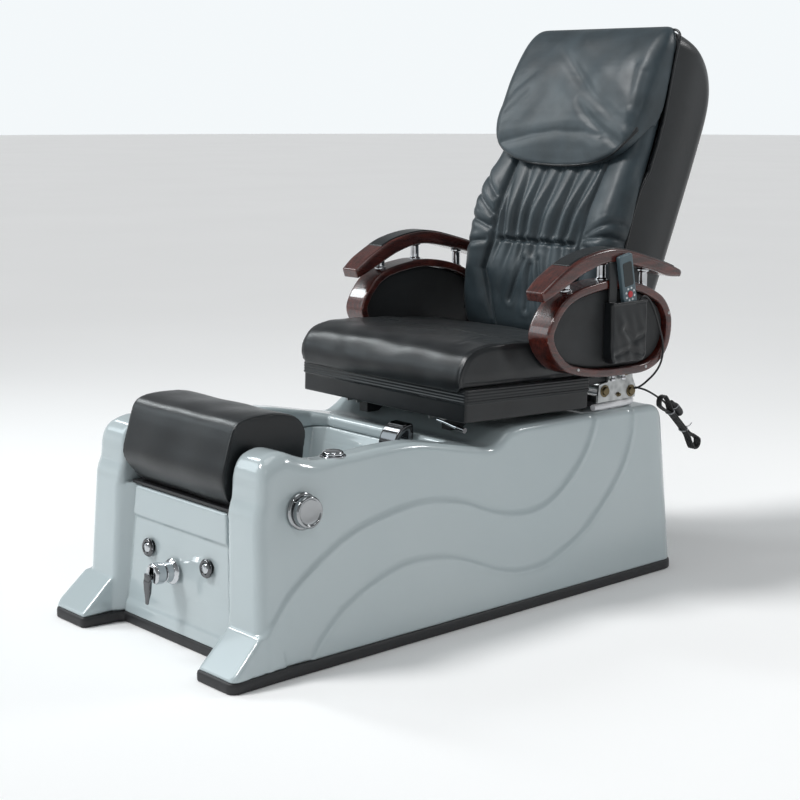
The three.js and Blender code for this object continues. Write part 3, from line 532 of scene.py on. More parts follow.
def make_lights():
    sun = bpy.data.objects.new("sun", bpy.data.lights.new("sun", "SUN"))
    bpy.context.scene.collection.objects.link(sun)
    sun.data.energy = 1.85
    sun.data.angle = math.radians(16)
    sun.rotation_euler = Vector((0.50, 0.72, -1.15)).to_track_quat("-Z", "Y").to_euler()
    soft_box("edge", (-2.3, -0.9, 2.4), (0, -0.2, 0.55), (0.45, 1.0), 22, (0.92, 0.98, 1))
    soft_box("front", (-2.3, -2.2, 1.75), (0, 0, 0.9), (1.0, 1.3), 11, (0.84, 0.95, 1))
    soft_box("lip", (1.3, 2.1, 2.4), (0.2, 0, 0.3), (0.8, 0.35), 15)
    soft_box("top", (0.3, -0.2, 3.0), (0, 0, 0.6), (1.0, 1.6), 8, (0.95, 0.99, 1))
    soft_box("spark", (2.3, -1.2, 2.5), (0.2, 0, 0.4), (0.2, 0.2), 6)


make_floor()
make_sky()
make_lights()
bpy.context.scene.view_settings.view_transform = "Standard"


# ---------------------------------------------------------------- mains lead and handset cord

HANK_START = np.array([305.3, 656.4, 439.1])
HANK_END = np.array([300.0, 820.0, 289.0])
ALONG = (HANK_END - HANK_START) / np.linalg.norm(HANK_END - HANK_START)
ACROSS = np.array([1.0, 0, 0]) - ALONG[0] * ALONG
ACROSS /= np.linalg.norm(ACROSS)
OUT = np.cross(ACROSS, ALONG)


def in_hank(u, v, w):
    """A point of the hank: u along it, v out and w across."""
    return HANK_START + u * ALONG + v * OUT + w * ACROSS


LEAD_START = [
    (205, 545.3, 430), (205, 552, 430), (206, 566, 436), (210, 583, 450), (222, 604, 460),
    (244, 617, 463), (266, 625, 461), (286, 633, 456),
]
TURNS = 4
TURN_STEP = 5.8
FOLD = 15.0  # radius of the hank's two folds
WAIST = 3.2


def make_lead():
    """Through the listed points from the gland to the hank, then round the hank's two folds."""
    high = 20.0
    low = np.linalg.norm(HANK_END - HANK_START) - 20.0
    there = [
        (high + 22, 10), (high + 44, WAIST + 0.6), ((high + low) / 2, WAIST), (low - 44, WAIST + 0.6),
        (low - 22, 10),
    ]
    back = [(u, -v) for u, v in reversed(there)]
    lead = [np.array(p, float) for p in LEAD_START]
    lead.append(in_hank(2, 2, -8.6))
    for k in range(TURNS):
        w = -8.6 + TURN_STEP * k
        lead += [in_hank(u, v, w) for u, v in there]
        lead += [in_hank(u, v, w + 1.4) for u, v in arc((low, 0), FOLD, 84, -84, 7)]
        w += TURN_STEP / 2
        if k == TURNS - 1:
            lead += [in_hank(u, v, w) for u, v in back[:-1]]
        else:
            lead += [in_hank(u, v, w) for u, v in back]
            lead += [in_hank(u, v, w + 1.4) for u, v in arc((high, 0), FOLD, -96, -264, 7)]
    return lead


LEAD = make_lead()


# ---------------------------------------------------------------- gelcoat base

HALF_WIDTH = 344  # of the base, at the floor
SIDE_DRAFT = 0.057
BASE_FRONT = -622
BASE_REAR = 697
BASE_WALL = 8
APRON_TOP = 326
LEDGE = 374  # where the basin's flange lies

FRONT_WAVE = smooth([
    (-800, 88), (-640, 92), (-604, 104), (-572, 133), (-520, 182), (-422, 244), (-343, 277), (-251, 296),
    (-166, 304), (-100, 298), (-31, 282), (37, 254), (107, 233), (183, 227), (248, 242), (316, 285),
    (376, 346), (412, 419), (424, 480),
], 4)
REAR_WAVE = smooth([
    (-520, -20), (-496, 12), (-462, 61), (-399, 114), (-315, 154), (-222, 178), (-144, 177), (-78, 166),
    (-11, 142), (61, 112), (132, 96), (206, 96), (272, 115), (355, 154), (438, 219), (500, 288), (538, 370),
    (550, 480),
], 4)
RIM = smooth([
    (-606, 378), (-602, 414), (-588, 442), (-560, 461), (-520, 467), (-470, 448), (-425, 436),
    (-330, 437), (-240, 440), (-157, 437), (-57, 418), (20, 402), (70, 396),
    (100, 408), (125, 424), (160, 431),
], 4)
SIDE_VIEW = [
    (-760, -60), (-760, 240), *RIM, (400, 430), *arc((613, 364), 62, 90, 0, 12), (760, 300), (760, -60),
]
FOOTPRINT = both_sides([
    (204, -601), (209, -606), (213, -616), (223, -693), (225, -698), (231, -701),
    *arc((330, -681), 20, -88, 0, 8), (347, -580), *arc((297, 651), 46, 0, 90, 10),
])
FOOT = [(-640, -60), (-702, -60), (-702, 26), (-622, 100), (-600, 103), (-560, 60), (-540, -60)]
BASIN = both_sides([(204, -505), (233, -435), (233, -30), (205, 0)])


def wave_step(wave, y, z):
    """0 behind the wave line, with a bead along it, rising quickly past it and levelling off."""
    region = [*wave, (1200, 480), (1200, -400), (min(wave[0][0], -520), -400)]
    past = polygon(region, y, z)
    t = np.clip(past / 18, 0, 1)
    bead = np.exp(-((past + 4) / 5) ** 2)
    return 1 - (1 - t) ** 3 - 0.3 * bead


def base_outside(x, y, z):
    """The base as one block, hollows left out."""
    half = HALF_WIDTH - SIDE_DRAFT * z
    half = half - 5.5 * wave_step(FRONT_WAVE, y, z) - 5.0 * wave_step(REAR_WAVE, y, z)
    half = half + 8 * step(y, -540, -620)
    plan = round_and(x - half, (BASE_FRONT + 0.05 * z) - y, 28)
    plan = round_and(plan, y - (BASE_REAR - 0.06 * z), 46)
    block = round_and(plan, polygon(SIDE_VIEW, y, z), 18 + 20 * step(y, -380, -500))
    spread = polygon(FOOTPRINT, x, y) + 0.05 * (z - 24) + 5 * step(y, -690, -580)
    foot = round_and(polygon(FOOT, y, z), spread, 6)
    return round_or(block, foot, 5)


def base_block(x, y, z):
    """The base with its toe space, the gap over the apron and the basin cut out."""
    block = base_outside(x, y, z)
    t = z / APRON_TOP
    inner = blend(212, 176, t)
    outer = blend(225, 221, t)
    back = blend(-595, -573, t)
    mouth = blend(-625, -612, t)
    side = x - (inner + (outer - inner) * np.clip((back - y) / (back - mouth), 0, 1))
    recess = round_and(np.maximum(side, y - back), z - APRON_TOP - 1, 12)
    block = cut(block, recess, 9)
    between = all_of(x - 204, y + 395, APRON_TOP + 1 - z)
    block = cut(block, between, 14)
    basin = polygon(BASIN, x, y) - 24 * (z - LEDGE) / 186
    return cut(block, round_and(basin, LEDGE - z, 4), 13)


def base_shell(x, y, z):
    solid = base_block(x, y, z)
    shell = all_of(solid, -(solid + BASE_WALL), 24 - z)
    ledge = all_of(polygon(BASIN, x, y) - 14, z - LEDGE - 0.5, 330 - z)
    shell = np.maximum(shell, -ledge)
    front_ledge = all_of(x - 204, -548 - y, y + 380, np.abs(z - 337) - 37)
    return np.maximum(shell, -front_ledge)


PITCH = sampling(4.0)
skin("base_moulding", base_shell, (-360, -712, 14), (360, 706, 492), PITCH, "base", GELCOAT, "gelcoat",
     mirrored=True, stands_for=["base_shell"])


# ---------------------------------------------------------------- basin, front panel and skirt

TUB = both_sides([(204, -4), (228, -30), (228, -436), (198, -500), (198, -545)])
TUB_FLOOR = 165
WASTE_AT = (0, -280)


def basin_tub(x, y, z):
    t = np.clip((z - TUB_FLOOR) / 208, 0, 1)
    across = x * 228 / (170 + 58 * t)
    along = -274.5 + (y + 287.5 - 13 * t) * 270.5 / (192.5 + 78 * t)
    wall = polygon(TUB, across, along)
    bowl = np.maximum(round_and(wall, TUB_FLOOR - z, 34), z - 700)
    shell = np.maximum(round_and(wall - 5, TUB_FLOOR - 5 - z, 39), -bowl)
    shell = np.maximum(shell, z - 373)
    flange = all_of(wall - 19, np.abs(z - 370.2) - 4.2, -wall)
    shell = np.minimum(shell, flange)
    low_front = all_of(x - 197, y + 395, APRON_TOP + 1 - z)
    shell = np.maximum(shell, -low_front)
    return np.maximum(shell, 22 - np.hypot(x - WASTE_AT[0], y - WASTE_AT[1]))


skin("basin_bowl", basin_tub, (-250, -566, 150), (250, 14, 380), PITCH, "base", GELCOAT, "gelcoat",
     mirrored=True, stands_for=["basin_tub"])

PANEL_OUT = (0, -0.99773, 0.06733)  # the way the apron faces
BUTTON_AT = (112, 194)


def panel_face(z):
    """How far forward the apron's face is at a height."""
    return -604.8 + 22 * z / APRON_TOP


def front_panel(x, y, z):
    half = np.where(z < 120, 207 - 14 * (z - 27) / 93, 193 - 19 * (z - 120) / 206)
    proud = 5.5 * step(z, 250, 262) + 4.5 * step(z, 62, 46)
    face = panel_face(z) + 5.5 - proud - y
    sheet = np.maximum(face, y - panel_face(z) - 9.5)
    sheet = round_and(round_and(sheet, x - half, 4), z - APRON_TOP, 8)
    sheet = np.maximum(sheet, 14.6 - np.hypot(x - BUTTON_AT[0], z - BUTTON_AT[1]))
    return np.maximum(sheet, 25 - z)


skin("apron_panel", front_panel, (-214, -616, 18), (214, -566, 332), sampling(3.0), "base", GELCOAT,
     "gelcoat", mirrored=True, stands_for=["front_panel"])


def rubber_skirt(x, y, z):
    plan = polygon(FOOTPRINT, x, y)
    band = round_and(plan - 2, z - 25, 7)
    band = round_and(band, -z, 3)
    return np.maximum(band, -(plan + 12))


skin("skirt_band", rubber_skirt, (-366, -716, -6), (366, 712, 30), PITCH, "base", RUBBER, "rubber",
     mirrored=True, stands_for=["rubber_skirt"])

SPOUT = smooth([
    (-0.3, 392), (-0.3, 428), (-15, 431), (-33, 426), (-47, 413), (-55, 397), (-58.3, 380), (-50.3, 380),
    (-46.3, 391), (-37.3, 403), (-25.3, 412), (-15.3, 416), (-14, 392),
], 4, closed=True)


def spout(x, y, z):
    return round_and(polygon(SPOUT, y, z), np.abs(x - 84) - 30, 3.5)


skin("spout_arch", spout, (48, -66, 372), (120, 6, 438), 2.0, "base", DARK_CHROME, "chrome",
     stands_for=["spout"])

turned("waste_flange", [(0, -24), (12, -24), (18, 0.4), (33, 0.4), (32, 4), (24, 2.5), (22, -6), (0, -6)],
       (*WASTE_AT, TUB_FLOOR), UP, "base", CHROME, "chrome", stands_for=["drain_body"])


# ---------------------------------------------------------------- seat and footrest upholstery

def piping(across, along, radius):
    """A round cord under the cover, where two distances are both zero."""
    return np.hypot(across, along) - radius


def crease(corners, u, v, depth, width, swell=0.35):
    """A sharp valley along a line, with the cover swelling on both sides of it."""
    d = distance(corners, u, v, closed=False) / width
    return depth * (np.exp(-d * d * 6) - swell * np.exp(-(d - 1.3) ** 2 * 3))


SEAT_PROFILE = smooth([
    (466, 78), (470, 112), (462, 150), (446, 161), (300, 171), (180, 175), (110, 175), (52, 170), (14, 155),
    (-8, 128), (-15, 102), (-12, 78), (-5, 68), (1, 75), (8, 77),
], 5)
SEAT_PROFILE = [*SEAT_PROFILE, (240, 76.8)]


def seat_pad(x, u, v):
    wide = np.abs(x)
    half = 291 + 2.0 * folds(x, u, v, 4, 230) - 5 * step(v, 112, 70)
    body = polygon(SEAT_PROFILE, u, v)
    pad = round_and(body, wide - half, 17)
    sunk = crease([(-262, 196), (262, 186)], x, u, 2.2, 9) * step(v, 140, 165)
    rays = 0
    rng = np.random.default_rng(11)
    for k in range(9):
        at = -230 + 57 * k + rng.uniform(-14, 14)
        reach = rng.uniform(60, 130)
        line = [(at, 186), (at + rng.uniform(-40, 40), 186 - reach)]
        rays = rays + crease(line, x, u, rng.uniform(0.5, 1.3), 12) * step(v, 140, 165)
        line = [(at + 20, 190), (at + 20 + rng.uniform(-50, 50), 190 + reach)]
        rays = rays + crease(line, x, u, rng.uniform(0.4, 1.0), 14) * step(v, 140, 165)
    swell = 3.0 * step(v, 120, 170) * (1 - (x / 300.0) ** 2) + 1.1 * folds(x, u, v, 5, 120)
    pad = pad + sunk + rays - swell
    cord = piping(body + 5.5, wide - half + 5.5, 3.4)
    cord = np.maximum(cord, 78 - v)
    return round_or(pad, cord, 1.2)


SEAT_PITCH = sampling(3.0)
skin("seat_pad", seat_pad, (-302, -24, 62), (302, 480, 190), SEAT_PITCH, "seat", VINYL, "vinyl",
               place=on_seat, stands_for=["seat_cushion"])


def seat_box(x, u, v):
    wide = np.abs(x)
    box = round_and(round_and(wide - 293.5, -(u - 1.5), 5), u - 413, 5)
    band = 3.0 * np.abs(np.sin((v - 50) * math.pi / 7.2)) * step(v, 48, 51)
    ripple = 1.0 * folds(x, u, v * 0.4, 8, 150) * step(v, 62, 40)
    body = round_and(round_and(box - band - ripple * 0.5, v - 76, 3), -v, 3)
    cord = piping(box - 0.4, v - 47, 2.9)
    body = round_or(body, cord, 1.0)
    # A black block under the cushion's rear overhang (u 414 to 490): painted shade standing in for the
    # shadow in the gap there, together with the black parts seen in it.
    rear_shade_block = all_of(wide - 285, np.abs(u - 452) - 38, np.abs(v - 65) - 10)
    return np.minimum(body, rear_shade_block)


skin("seat_surround", seat_box, (-300, -6, -4), (300, 498, 80), sampling(2.6), "seat", VINYL, "vinyl",
     place=on_seat, stands_for=["seat_base_box"])

FOOT_PAD = smooth([
    (-398, 334), (-391, 380), (-389, 430), (-383, 478), (-402, 508), (-440, 523), (-500, 527), (-545, 523),
    (-568, 511), (-580, 486), (-592, 448), (-603, 408), (-597, 380), (-578, 350), (-560, 334),
], 5)


def foot_pad(x, y, z):
    wide = np.abs(x)
    half = 192 - 20 * step(z, 400, 334) + 1.0 * folds(x, y, z, 22, 160)
    body = polygon(FOOT_PAD, y, z)
    pad = round_and(body, wide - half, 9)
    pad = pad - 1.0 * folds(x, y, z, 23, 210)
    cord = piping(body + 2.6, wide - half + 2.6, 2.6)
    return round_or(pad, cord, 1.0)


skin("foot_pad", foot_pad, (-200, -614, 328), (200, -376, 536), sampling(2.8), "footrest",
               VINYL, "vinyl", stands_for=["footrest_cushion"])


# ---------------------------------------------------------------- arms, pocket and handset

RING = smooth([
    (191, 649), (205, 601), (247, 560), (300, 541), (368, 530), (450, 526), (532, 526),
    (587, 546), (621, 588),
    (628, 648), (603, 695), (561, 722), (500, 744), (420, 757), (354, 754), (276, 738), (226, 706),
], 8, closed=True)
TOP_LINE = smooth([(174, 745), (224, 779), (307, 817), (418, 831), (538, 806), (653, 769), (669, 757)], 10)
UNDER_LINE = smooth([
    (664, 746), (615, 752), (540, 774), (412, 798), (325, 784), (245, 750), (182, 722),
], 10)
ARM_TOP = [*TOP_LINE, *UNDER_LINE]
ARM_X = 329.0


def arm_ring(x, y, z):
    outline = polygon(RING, y, z)
    ring = np.maximum(outline, -(outline + 20))
    return round_and(ring, np.abs(x - ARM_X) - 34, 4.5)


def arm_rest(x, y, z):
    slab = polygon(ARM_TOP, y, z)
    half = 34 - 5 * step(y, 560, 690) - 4 * step(y, 215, 170)
    return round_and(slab, np.abs(x - ARM_X) - half, 7)


def arm_inlay(x, y, z):
    slab = polygon(ARM_TOP, y, z)
    sheet = np.maximum(slab - 2.4, -(slab + 3))
    middle = np.interp(y, [174, 307, 418, 538, 669], [733, 800, 814, 790, 751])
    sheet = round_and(sheet, np.abs(x - ARM_X) - 27, 2.4)
    return np.maximum(np.maximum(sheet, middle - z), np.maximum(262 - y, y - 640))


def arm_panel(x, y, z):
    outline = polygon(RING, y, z) + 20.6
    swell = 2.5 * step(-outline, 0, 40)
    return round_and(outline, np.abs(x - 331) - 17 - swell, 5)


POSTS = {"front": (281, 738, 767), "middle": (402, 755, 799), "rear": (553, 723, 772)}
ARM_PITCH = sampling(2.4)
for side, sign in SIDES:
    def on_side(points, sign=sign):
        return points * (sign, 1, 1)

    def arm_piece(name, field, low, high, pitch, material, slot, stands_for=()):
        points, faces = shell_of(field, low, high, pitch)
        faces = faces[:, ::-1] if sign > 0 else faces
        made = mesh_of(f"{name}_{side}", on_side(points), np.ascontiguousarray(faces))
        return adopt(made, "seat", material, slot, stands_for=stands_for)

    arm_piece("ring", arm_ring, (290, 182, 518), (368, 636, 764), ARM_PITCH, WOOD, "wood",
              [f"arm_ring_{side}"])
    arm_piece("rest", arm_rest, (290, 166, 712), (368, 678, 838), ARM_PITCH, WOOD, "wood",
              [f"arm_top_{side}"])
    arm_piece("inlay", arm_inlay, (298, 256, 742), (360, 646, 840), ARM_PITCH, VINYL, "vinyl")
    arm_piece("infill", arm_panel, (306, 196, 532), (356, 622, 750), 3.5, VINYL_PANEL, "vinyl",
              [f"arm_panel_{side}"])
    for post, (y, low, high) in POSTS.items():
        turned(f"post_{post}_{side}", [(0, low), (15, low), (15, low + 5), (11, low + 7), (11, high - 7),
                                       (15, high - 5), (15, high), (0, high)],
               (sign * ARM_X, y, 0), (0, 0, 1), "seat", CHROME, "chrome", 32,
               stands_for=[f"arm_post_{post}_{side}"])
    for k, (y, z) in enumerate([(293, 556), (534, 538), (616, 662)]):
        turned(f"ring_screw_{side}_{k}", [(0, -2), (4, -2), (4, 0.5), (2.6, 1.6), (0, 1.8)],
               (sign * 363, y, z), (sign, 0, 0), "seat", ZINC, "zinc", 20)


def pocket(x, y, z):
    front = [(386, 575), (394, 561), (500, 559), (512, 572), (514, 702), (388, 706)]
    outline = polygon(front, y, z)
    slack = (2.0 + 1.6 * folds(0, y, z, 31, 52)) * step(z, 706, 650)
    slack = slack - crease([(430, 640), (470, 612), (500, 620)], y, z, 2.5, 12)
    slack = slack - crease([(400, 580), (450, 590), (500, 574)], y, z, 2.5, 10)
    outside = np.abs(x - 365.6) - 15.2
    pouch = round_and(outline, np.where(x > 365, outside - np.maximum(slack, 0), outside), 7)
    mouth = all_of(np.abs(x - 368.4) - 8.6, np.abs(y - 463) - 45, 640 - z)
    pouch = cut(pouch, mouth, 1)
    hem = piping(np.maximum(np.abs(y - 451) - 60, 0), z - 703, 2.6)
    pouch = round_or(pouch, all_of(hem, 377 - x, x - 382), 1)
    strap = distance([(364.8, 690), (365.6, 735), (365.6, 762), (362, 800)], x, z, closed=False) - 1.6
    return np.minimum(pouch, np.maximum(strap, np.abs(y - 405) - 14))


skin("handset_pocket", pocket, (346, 380, 552), (388, 520, 806), sampling(1.5), "seat", VINYL,
     "vinyl", stands_for=["remote_pocket"])

HANDSET_AT = (467.0, 652.0)
HANDSET_LEAN = math.radians(-11)


def on_handset(points):
    """Local (x, along the face, up the handset) to the chair."""
    placed = tilted(np.asarray(points, float) * (1, -1, 1), HANDSET_AT, 0)
    x, w, h = np.asarray(points, float).T
    c, n = math.cos(HANDSET_LEAN), math.sin(HANDSET_LEAN)
    placed[:, 0] = 370.8 + x
    placed[:, 1] = HANDSET_AT[0] + w * c + h * n
    placed[:, 2] = HANDSET_AT[1] - w * n + h * c
    return placed


def slab(wide, low, high, thick, start, edge):
    """A flat plate with rounded outline and edges on the handset's outer face."""
    def field(x, w, h):
        across = round_and(np.abs(w) - wide, np.abs(h - (low + high) / 2) - (high - low) / 2, 5)
        return round_and(across, np.abs(x - start - thick / 2) - thick / 2, edge)
    return field


skin("handset_body", slab(23, 0, 168, 13.4, -7, 3), (-10, -27, -4), (10, 27, 172), 1.5, "handset", HANDSET,
     "handset", place=on_handset, stands_for=["handset"])
skin("handset_lcd", slab(16, 92, 150, 1.2, 6.0, 0.5), (4, -19, 88), (9, 19, 154), 0.8, "handset", SCREEN,
     "handset", place=on_handset)


def handset_point(x, w, h):
    return tuple(on_handset([(x, w, h)])[0])


OUTWARD = (1, 0, 0)
KEY = [(0, 6.2), (3.0, 6.2), (3.0, 7.2), (2.2, 7.8), (0, 7.9)]
KEY_CIRCLE = 15.0
turned("key_cap", [(0, 6.3), (8.2, 6.3), (8.2, 7.8), (6.5, 8.8), (0, 9.0)], handset_point(0, 0, 72),
       OUTWARD, "handset_key", RED, "red", 32, stands_for=["handset_key"])
for k in range(8):
    angle = 2 * math.pi * (k + 0.5) / 8
    at = handset_point(0, KEY_CIRCLE * math.cos(angle), 72 + KEY_CIRCLE * math.sin(angle))
    turned(f"round_key_{k}", KEY, at, OUTWARD, "handset", PALE_KEY, "handset", 16)
for k in range(2):
    turned(f"lower_key_{k}", KEY, handset_point(0, -7 + 14 * k, 46), OUTWARD, "handset", PALE_KEY,
           "handset", 16)


# ---------------------------------------------------------------- backrest

SEAM = (
    [62, 295, 376, 440, 490, 560, 620, 704, 772, 852],
    [-64, -68, -71, -65, -49, -44, -43, -50, -57, -60],
)
FRONT = smooth([
    (50, -74), (66, -84), (100, -96), (140, -103), (216, -119), (300, -127), (360, -129), (440, -114),
    (520, -101), (612, -101), (713, -97), (780, -86), (830, -72), (852, -58),
], 4)
BACK_PAD = [*[(t, s) for s, t in FRONT], (-20, 852), (-20, 50)]


def pad_outline(x, t, s):
    """The front cushion without its seams and gathers."""
    half = 240 + 10 * step(s, 500, 430) + 7 * np.exp(-((s - 362) / 55.0) ** 2) - 10 * step(s, 150, 66)
    half = half + 3 * step(s, 600, 800)
    body = polygon(BACK_PAD, t, s)
    return round_and(body, np.abs(x) - half, 36)


COVER_CREASES = [
    ((-252, 326), (-166, 300), 5), ((-250, 398), (-166, 336), 5), ((-246, 452), (-170, 384), 4),
    ((-250, 250), (-172, 262), 4), ((248, 300), (168, 286), 5), ((250, 338), (176, 300), 4),
    ((246, 250), (172, 268), 4), ((-60, 120), (-20, 220), 4), ((60, 110), (26, 225), 5),
    ((0, 100), (4, 210), 4),
]


def gathers(x, s):
    """How far the cover stands out from the plain cushion, in front."""
    wide = np.abs(x)
    seam = np.interp(s, [66, 120, 190, 262, 300, 480, 852], [118, 138, 166, 150, 152, 158, 160])
    over = step(s, 268, 276)
    away = np.abs(s - 272)
    bolster = 12 * np.sin(math.pi * np.clip((wide - seam) / (252 - seam), 0, 1)) ** 0.8 * step(s, 560, 430)
    bolster = bolster * (1 + 0.10 * folds(x, s, 0, 41, 120)) * step(s, 60, 150)
    valley = 10 * np.exp(-((wide - seam) / 6.5) ** 2)
    inside = step(wide, seam, seam - 26)
    spacing = 44 + 14 * np.clip(away / 190, 0, 1)
    wander = 0.13 * folds(x, s * 0.45, 0, 42, 170)
    phase = x / spacing + wander + 0.25
    wave = np.cos(2 * math.pi * phase)
    size = (8.5 * np.exp(-((away - 60) / 110) ** 2) + 3.2) * over
    size = size + 6.0 * np.exp(-away / 75) * (1 - over)
    pleats = size * (wave - 0.16 * np.cos(4 * math.pi * phase)) * 0.75
    gathered = step(wide, 142, 126)
    puckers = 4.5 * np.abs(np.sin(math.pi * x / 15.5)) * np.exp(-((s - 276) / 11) ** 2) * gathered
    tied = 11 * np.exp(-((s - 272) / 6.0) ** 2) * gathered
    belly = 9 * np.exp(-((s - 185) / 55) ** 2) * inside
    soft = 1.3 * folds(x, s * 0.6, 0, 43, 130)
    made = bolster - valley + pleats * inside + puckers - tied + belly + soft
    for a, b, depth in COVER_CREASES:
        made = made - crease([a, b], x, s, depth, 13)
    return made


def back_pad(x, t, s):
    pad = pad_outline(x, t, s)
    raised = gathers(x, s) * step(t, -62, -92)
    seam = np.interp(s, *SEAM)
    return round_and(pad - raised, t - (seam - 0.6), 4)


def back_piping(x, t, s):
    """The piped seam between the cushion's cover and the shell's."""
    half = 252 + 2 * np.exp(-((s - 362) / 55.0) ** 2)
    edge = round_and(polygon(SHELL_SIDE, t, s), np.abs(x) - half, 26)
    return np.maximum(piping(edge + 0.8, t - np.interp(s, *SEAM), 3.4), 84 - s)


SHELL_REAR = smooth([
    (70, 62), (106, 96), (230, 117), (430, 134), (600, 145), (700, 147), (764, 133), (812, 100),
    (842, 50), (853, -8), (854, -70),
], 5)
SHELL_SIDE = [(-120, 62), *[(t, s) for s, t in SHELL_REAR], (-120, 854)]


def back_shell(x, t, s):
    half = 244 + 9 * np.exp(-((t - 8) / 75.0) ** 2)
    outside = round_and(polygon(SHELL_SIDE, t, s), np.abs(x) - half, 46)
    shell = np.maximum(outside, -(outside + 11))
    shell = round_and(shell, np.interp(s, *SEAM) + 0.6 - t, 3)
    slot = all_of(np.abs(x) - 185, np.abs(t - 55) - 37, s - 110)
    return np.maximum(shell, -slot)


BACK_PITCH = sampling(3.0)
skin("back_pad", back_pad, (-268, -158, 42), (268, -30, 866), BACK_PITCH, "backrest", VINYL_SLATE_PAINTED_LIGHT,
               "vinyl", place=on_back, stands_for=["back_cushion"])
skin("back_cover", back_shell, (-258, -84, 54), (258, 154, 862), sampling(3.6), "backrest", VINYL,
     "vinyl", place=on_back, mirrored=True, stands_for=["back_shell"])
skin("back_piping", back_piping, (-262, -84, 76), (262, -30, 862), sampling(2.2), "backrest", VINYL,
     "vinyl", place=on_back, mirrored=True)

FLAP_FRONT = smooth([
    (440, -124), (480, -128), (520, -135), (612, -141), (713, -132), (780, -115), (826, -96),
    (856, -72), (868, -40),
], 4)
FLAP_SIDE = [*[(t, s) for s, t in FLAP_FRONT], (10, 868), (10, 440)]
FLAP_OUTLINE = smooth([
    (0, 472), (70, 475), (130, 484), (184, 503), (222, 536), (244, 585), (252, 650), (251, 760), (244, 826),
    (214, 864), (150, 880), (0, 882),
], 4)
FLAP_OUTLINE = both_sides(FLAP_OUTLINE)
FLAP_EDGE = ([460, 542, 587, 657, 734, 839, 880], [-112, -98, -62, -52, -57, -60, -44])


FLAP_CREASES = [
    ([(-196, 528), (-92, 551), (-14, 561), (92, 559), (140, 550)], 2.6, 20),
    ([(-226, 632), (-196, 672), (-150, 716)], 2.5, 34),
    ([(-214, 596), (-176, 624), (-140, 664)], 2, 30),
    ([(186, 742), (196, 690), (214, 636)], 2.2, 30),
    ([(226, 722), (230, 672), (236, 628)], 1.5, 20),
]


def fading(corners, x, s, depth, width):
    """A crease that opens gradually from its first corner, deepest beyond the middle."""
    along = np.clip((x - corners[0][0]) / (corners[-1][0] - corners[0][0]), 0, 1)
    return crease(corners, x, s, depth, width) * np.minimum(1, 3.2 * along) * (1 - 0.35 * along)


def flap_relief(x, s):
    relief = 2.2 * folds(x, s, 0, 51, 260) + 0.5 * folds(x, s, 0, 52, 110) * step(s, 820, 700)
    main = fading([(-120, 806), (-50, 760), (20, 706), (93, 652), (168, 606), (232, 580)], x, s, 9, 44)
    relief = relief - main - fading([(30, 640), (96, 592), (158, 556), (236, 516)], x, s, 9, 38)
    for corners, depth, width in FLAP_CREASES:
        relief = relief - crease(corners, x, s, depth, width)
    return relief


def flap_outside(x, t, s):
    return round_and(polygon(FLAP_SIDE, t, s), np.abs(x) - 251, 44)


def head_flap(x, t, s):
    outside = flap_outside(x, t, s)
    raised = flap_relief(x, s) * step(t, -60, -96)
    sheet = np.maximum(outside - raised, 2.2 - pad_outline(x, t, s))
    sheet = round_and(sheet, polygon(FLAP_OUTLINE, x, s), 9)
    return round_and(sheet, t - np.interp(s, *FLAP_EDGE), 2)


def flap_piping(x, t, s):
    cord = piping(flap_outside(x, t, s) + 5.5, polygon(FLAP_OUTLINE, x, s) + 2.5, 3.2)
    return all_of(cord, s - 582, np.abs(x) - 240)


skin("head_pad", head_flap, (-262, -160, 462), (262, -30, 884), BACK_PITCH, "head_flap",
               VINYL_SLATE_PAINTED_LIGHT, "vinyl", place=on_back, stands_for=["head_flap"])
skin("head_pad_piping", flap_piping, (-262, -152, 462), (262, -40, 596), sampling(2.2), "head_flap",
     VINYL, "vinyl", place=on_back, mirrored=True)


# ---------------------------------------------------------------- fittings

turned("waste_plug", [(0, 150), (4, 150), (4, 169), (24, 169), (22, 174), (0, 176)], (*WASTE_AT, 0), UP,
       "drain_popup", CHROME, "chrome", 32, stands_for=["drain_popup"])
BEZEL = [(12.4, -12), (14.4, -12), (14.4, 0.3), (21, 0.3), (21, 3), (18.5, 6.5), (14.5, 7.2), (12.4, 6)]
for side, sign in SIDES:
    turned(f"nozzle_{side}", [(0, 0.3), (24, 0.3), (24, 3), (15, 6), (12, 12), (7, 13), (6, 9), (0, 9)],
           (sign * 193.7, -230, 250), (-sign, 0, 0.279), "base", CHROME, "chrome", 32,
           stands_for=[f"jet_{side}"])
    at = (sign * BUTTON_AT[0], panel_face(BUTTON_AT[1]), BUTTON_AT[1])
    turned(f"bezel_{side}", [*BEZEL, BEZEL[0]], at, PANEL_OUT, "base", DARK_CHROME, "chrome", 40,
           stands_for=[f"air_bezel_{side}"])
    turned(f"button_{side}", [(0, -5), (11.6, -5), (11.6, 5), (9.5, 7.2), (4, 8.8), (0, 9)], at, PANEL_OUT,
           f"air_button_{side}", CHROME, "chrome", 32, stands_for=[f"air_button_{side}"])

MIXER_AT = (-16, panel_face(160), 160)
turned("tap_barrel", [(0, -20), (15, -20), (15, 0.3), (29, 0.3), (29, 3), (26, 7), (22, 9), (22, 26),
                      (0, 26)],
       MIXER_AT, PANEL_OUT, "base", CHROME, "chrome", 48, 2.0, stands_for=["mixer_body"])


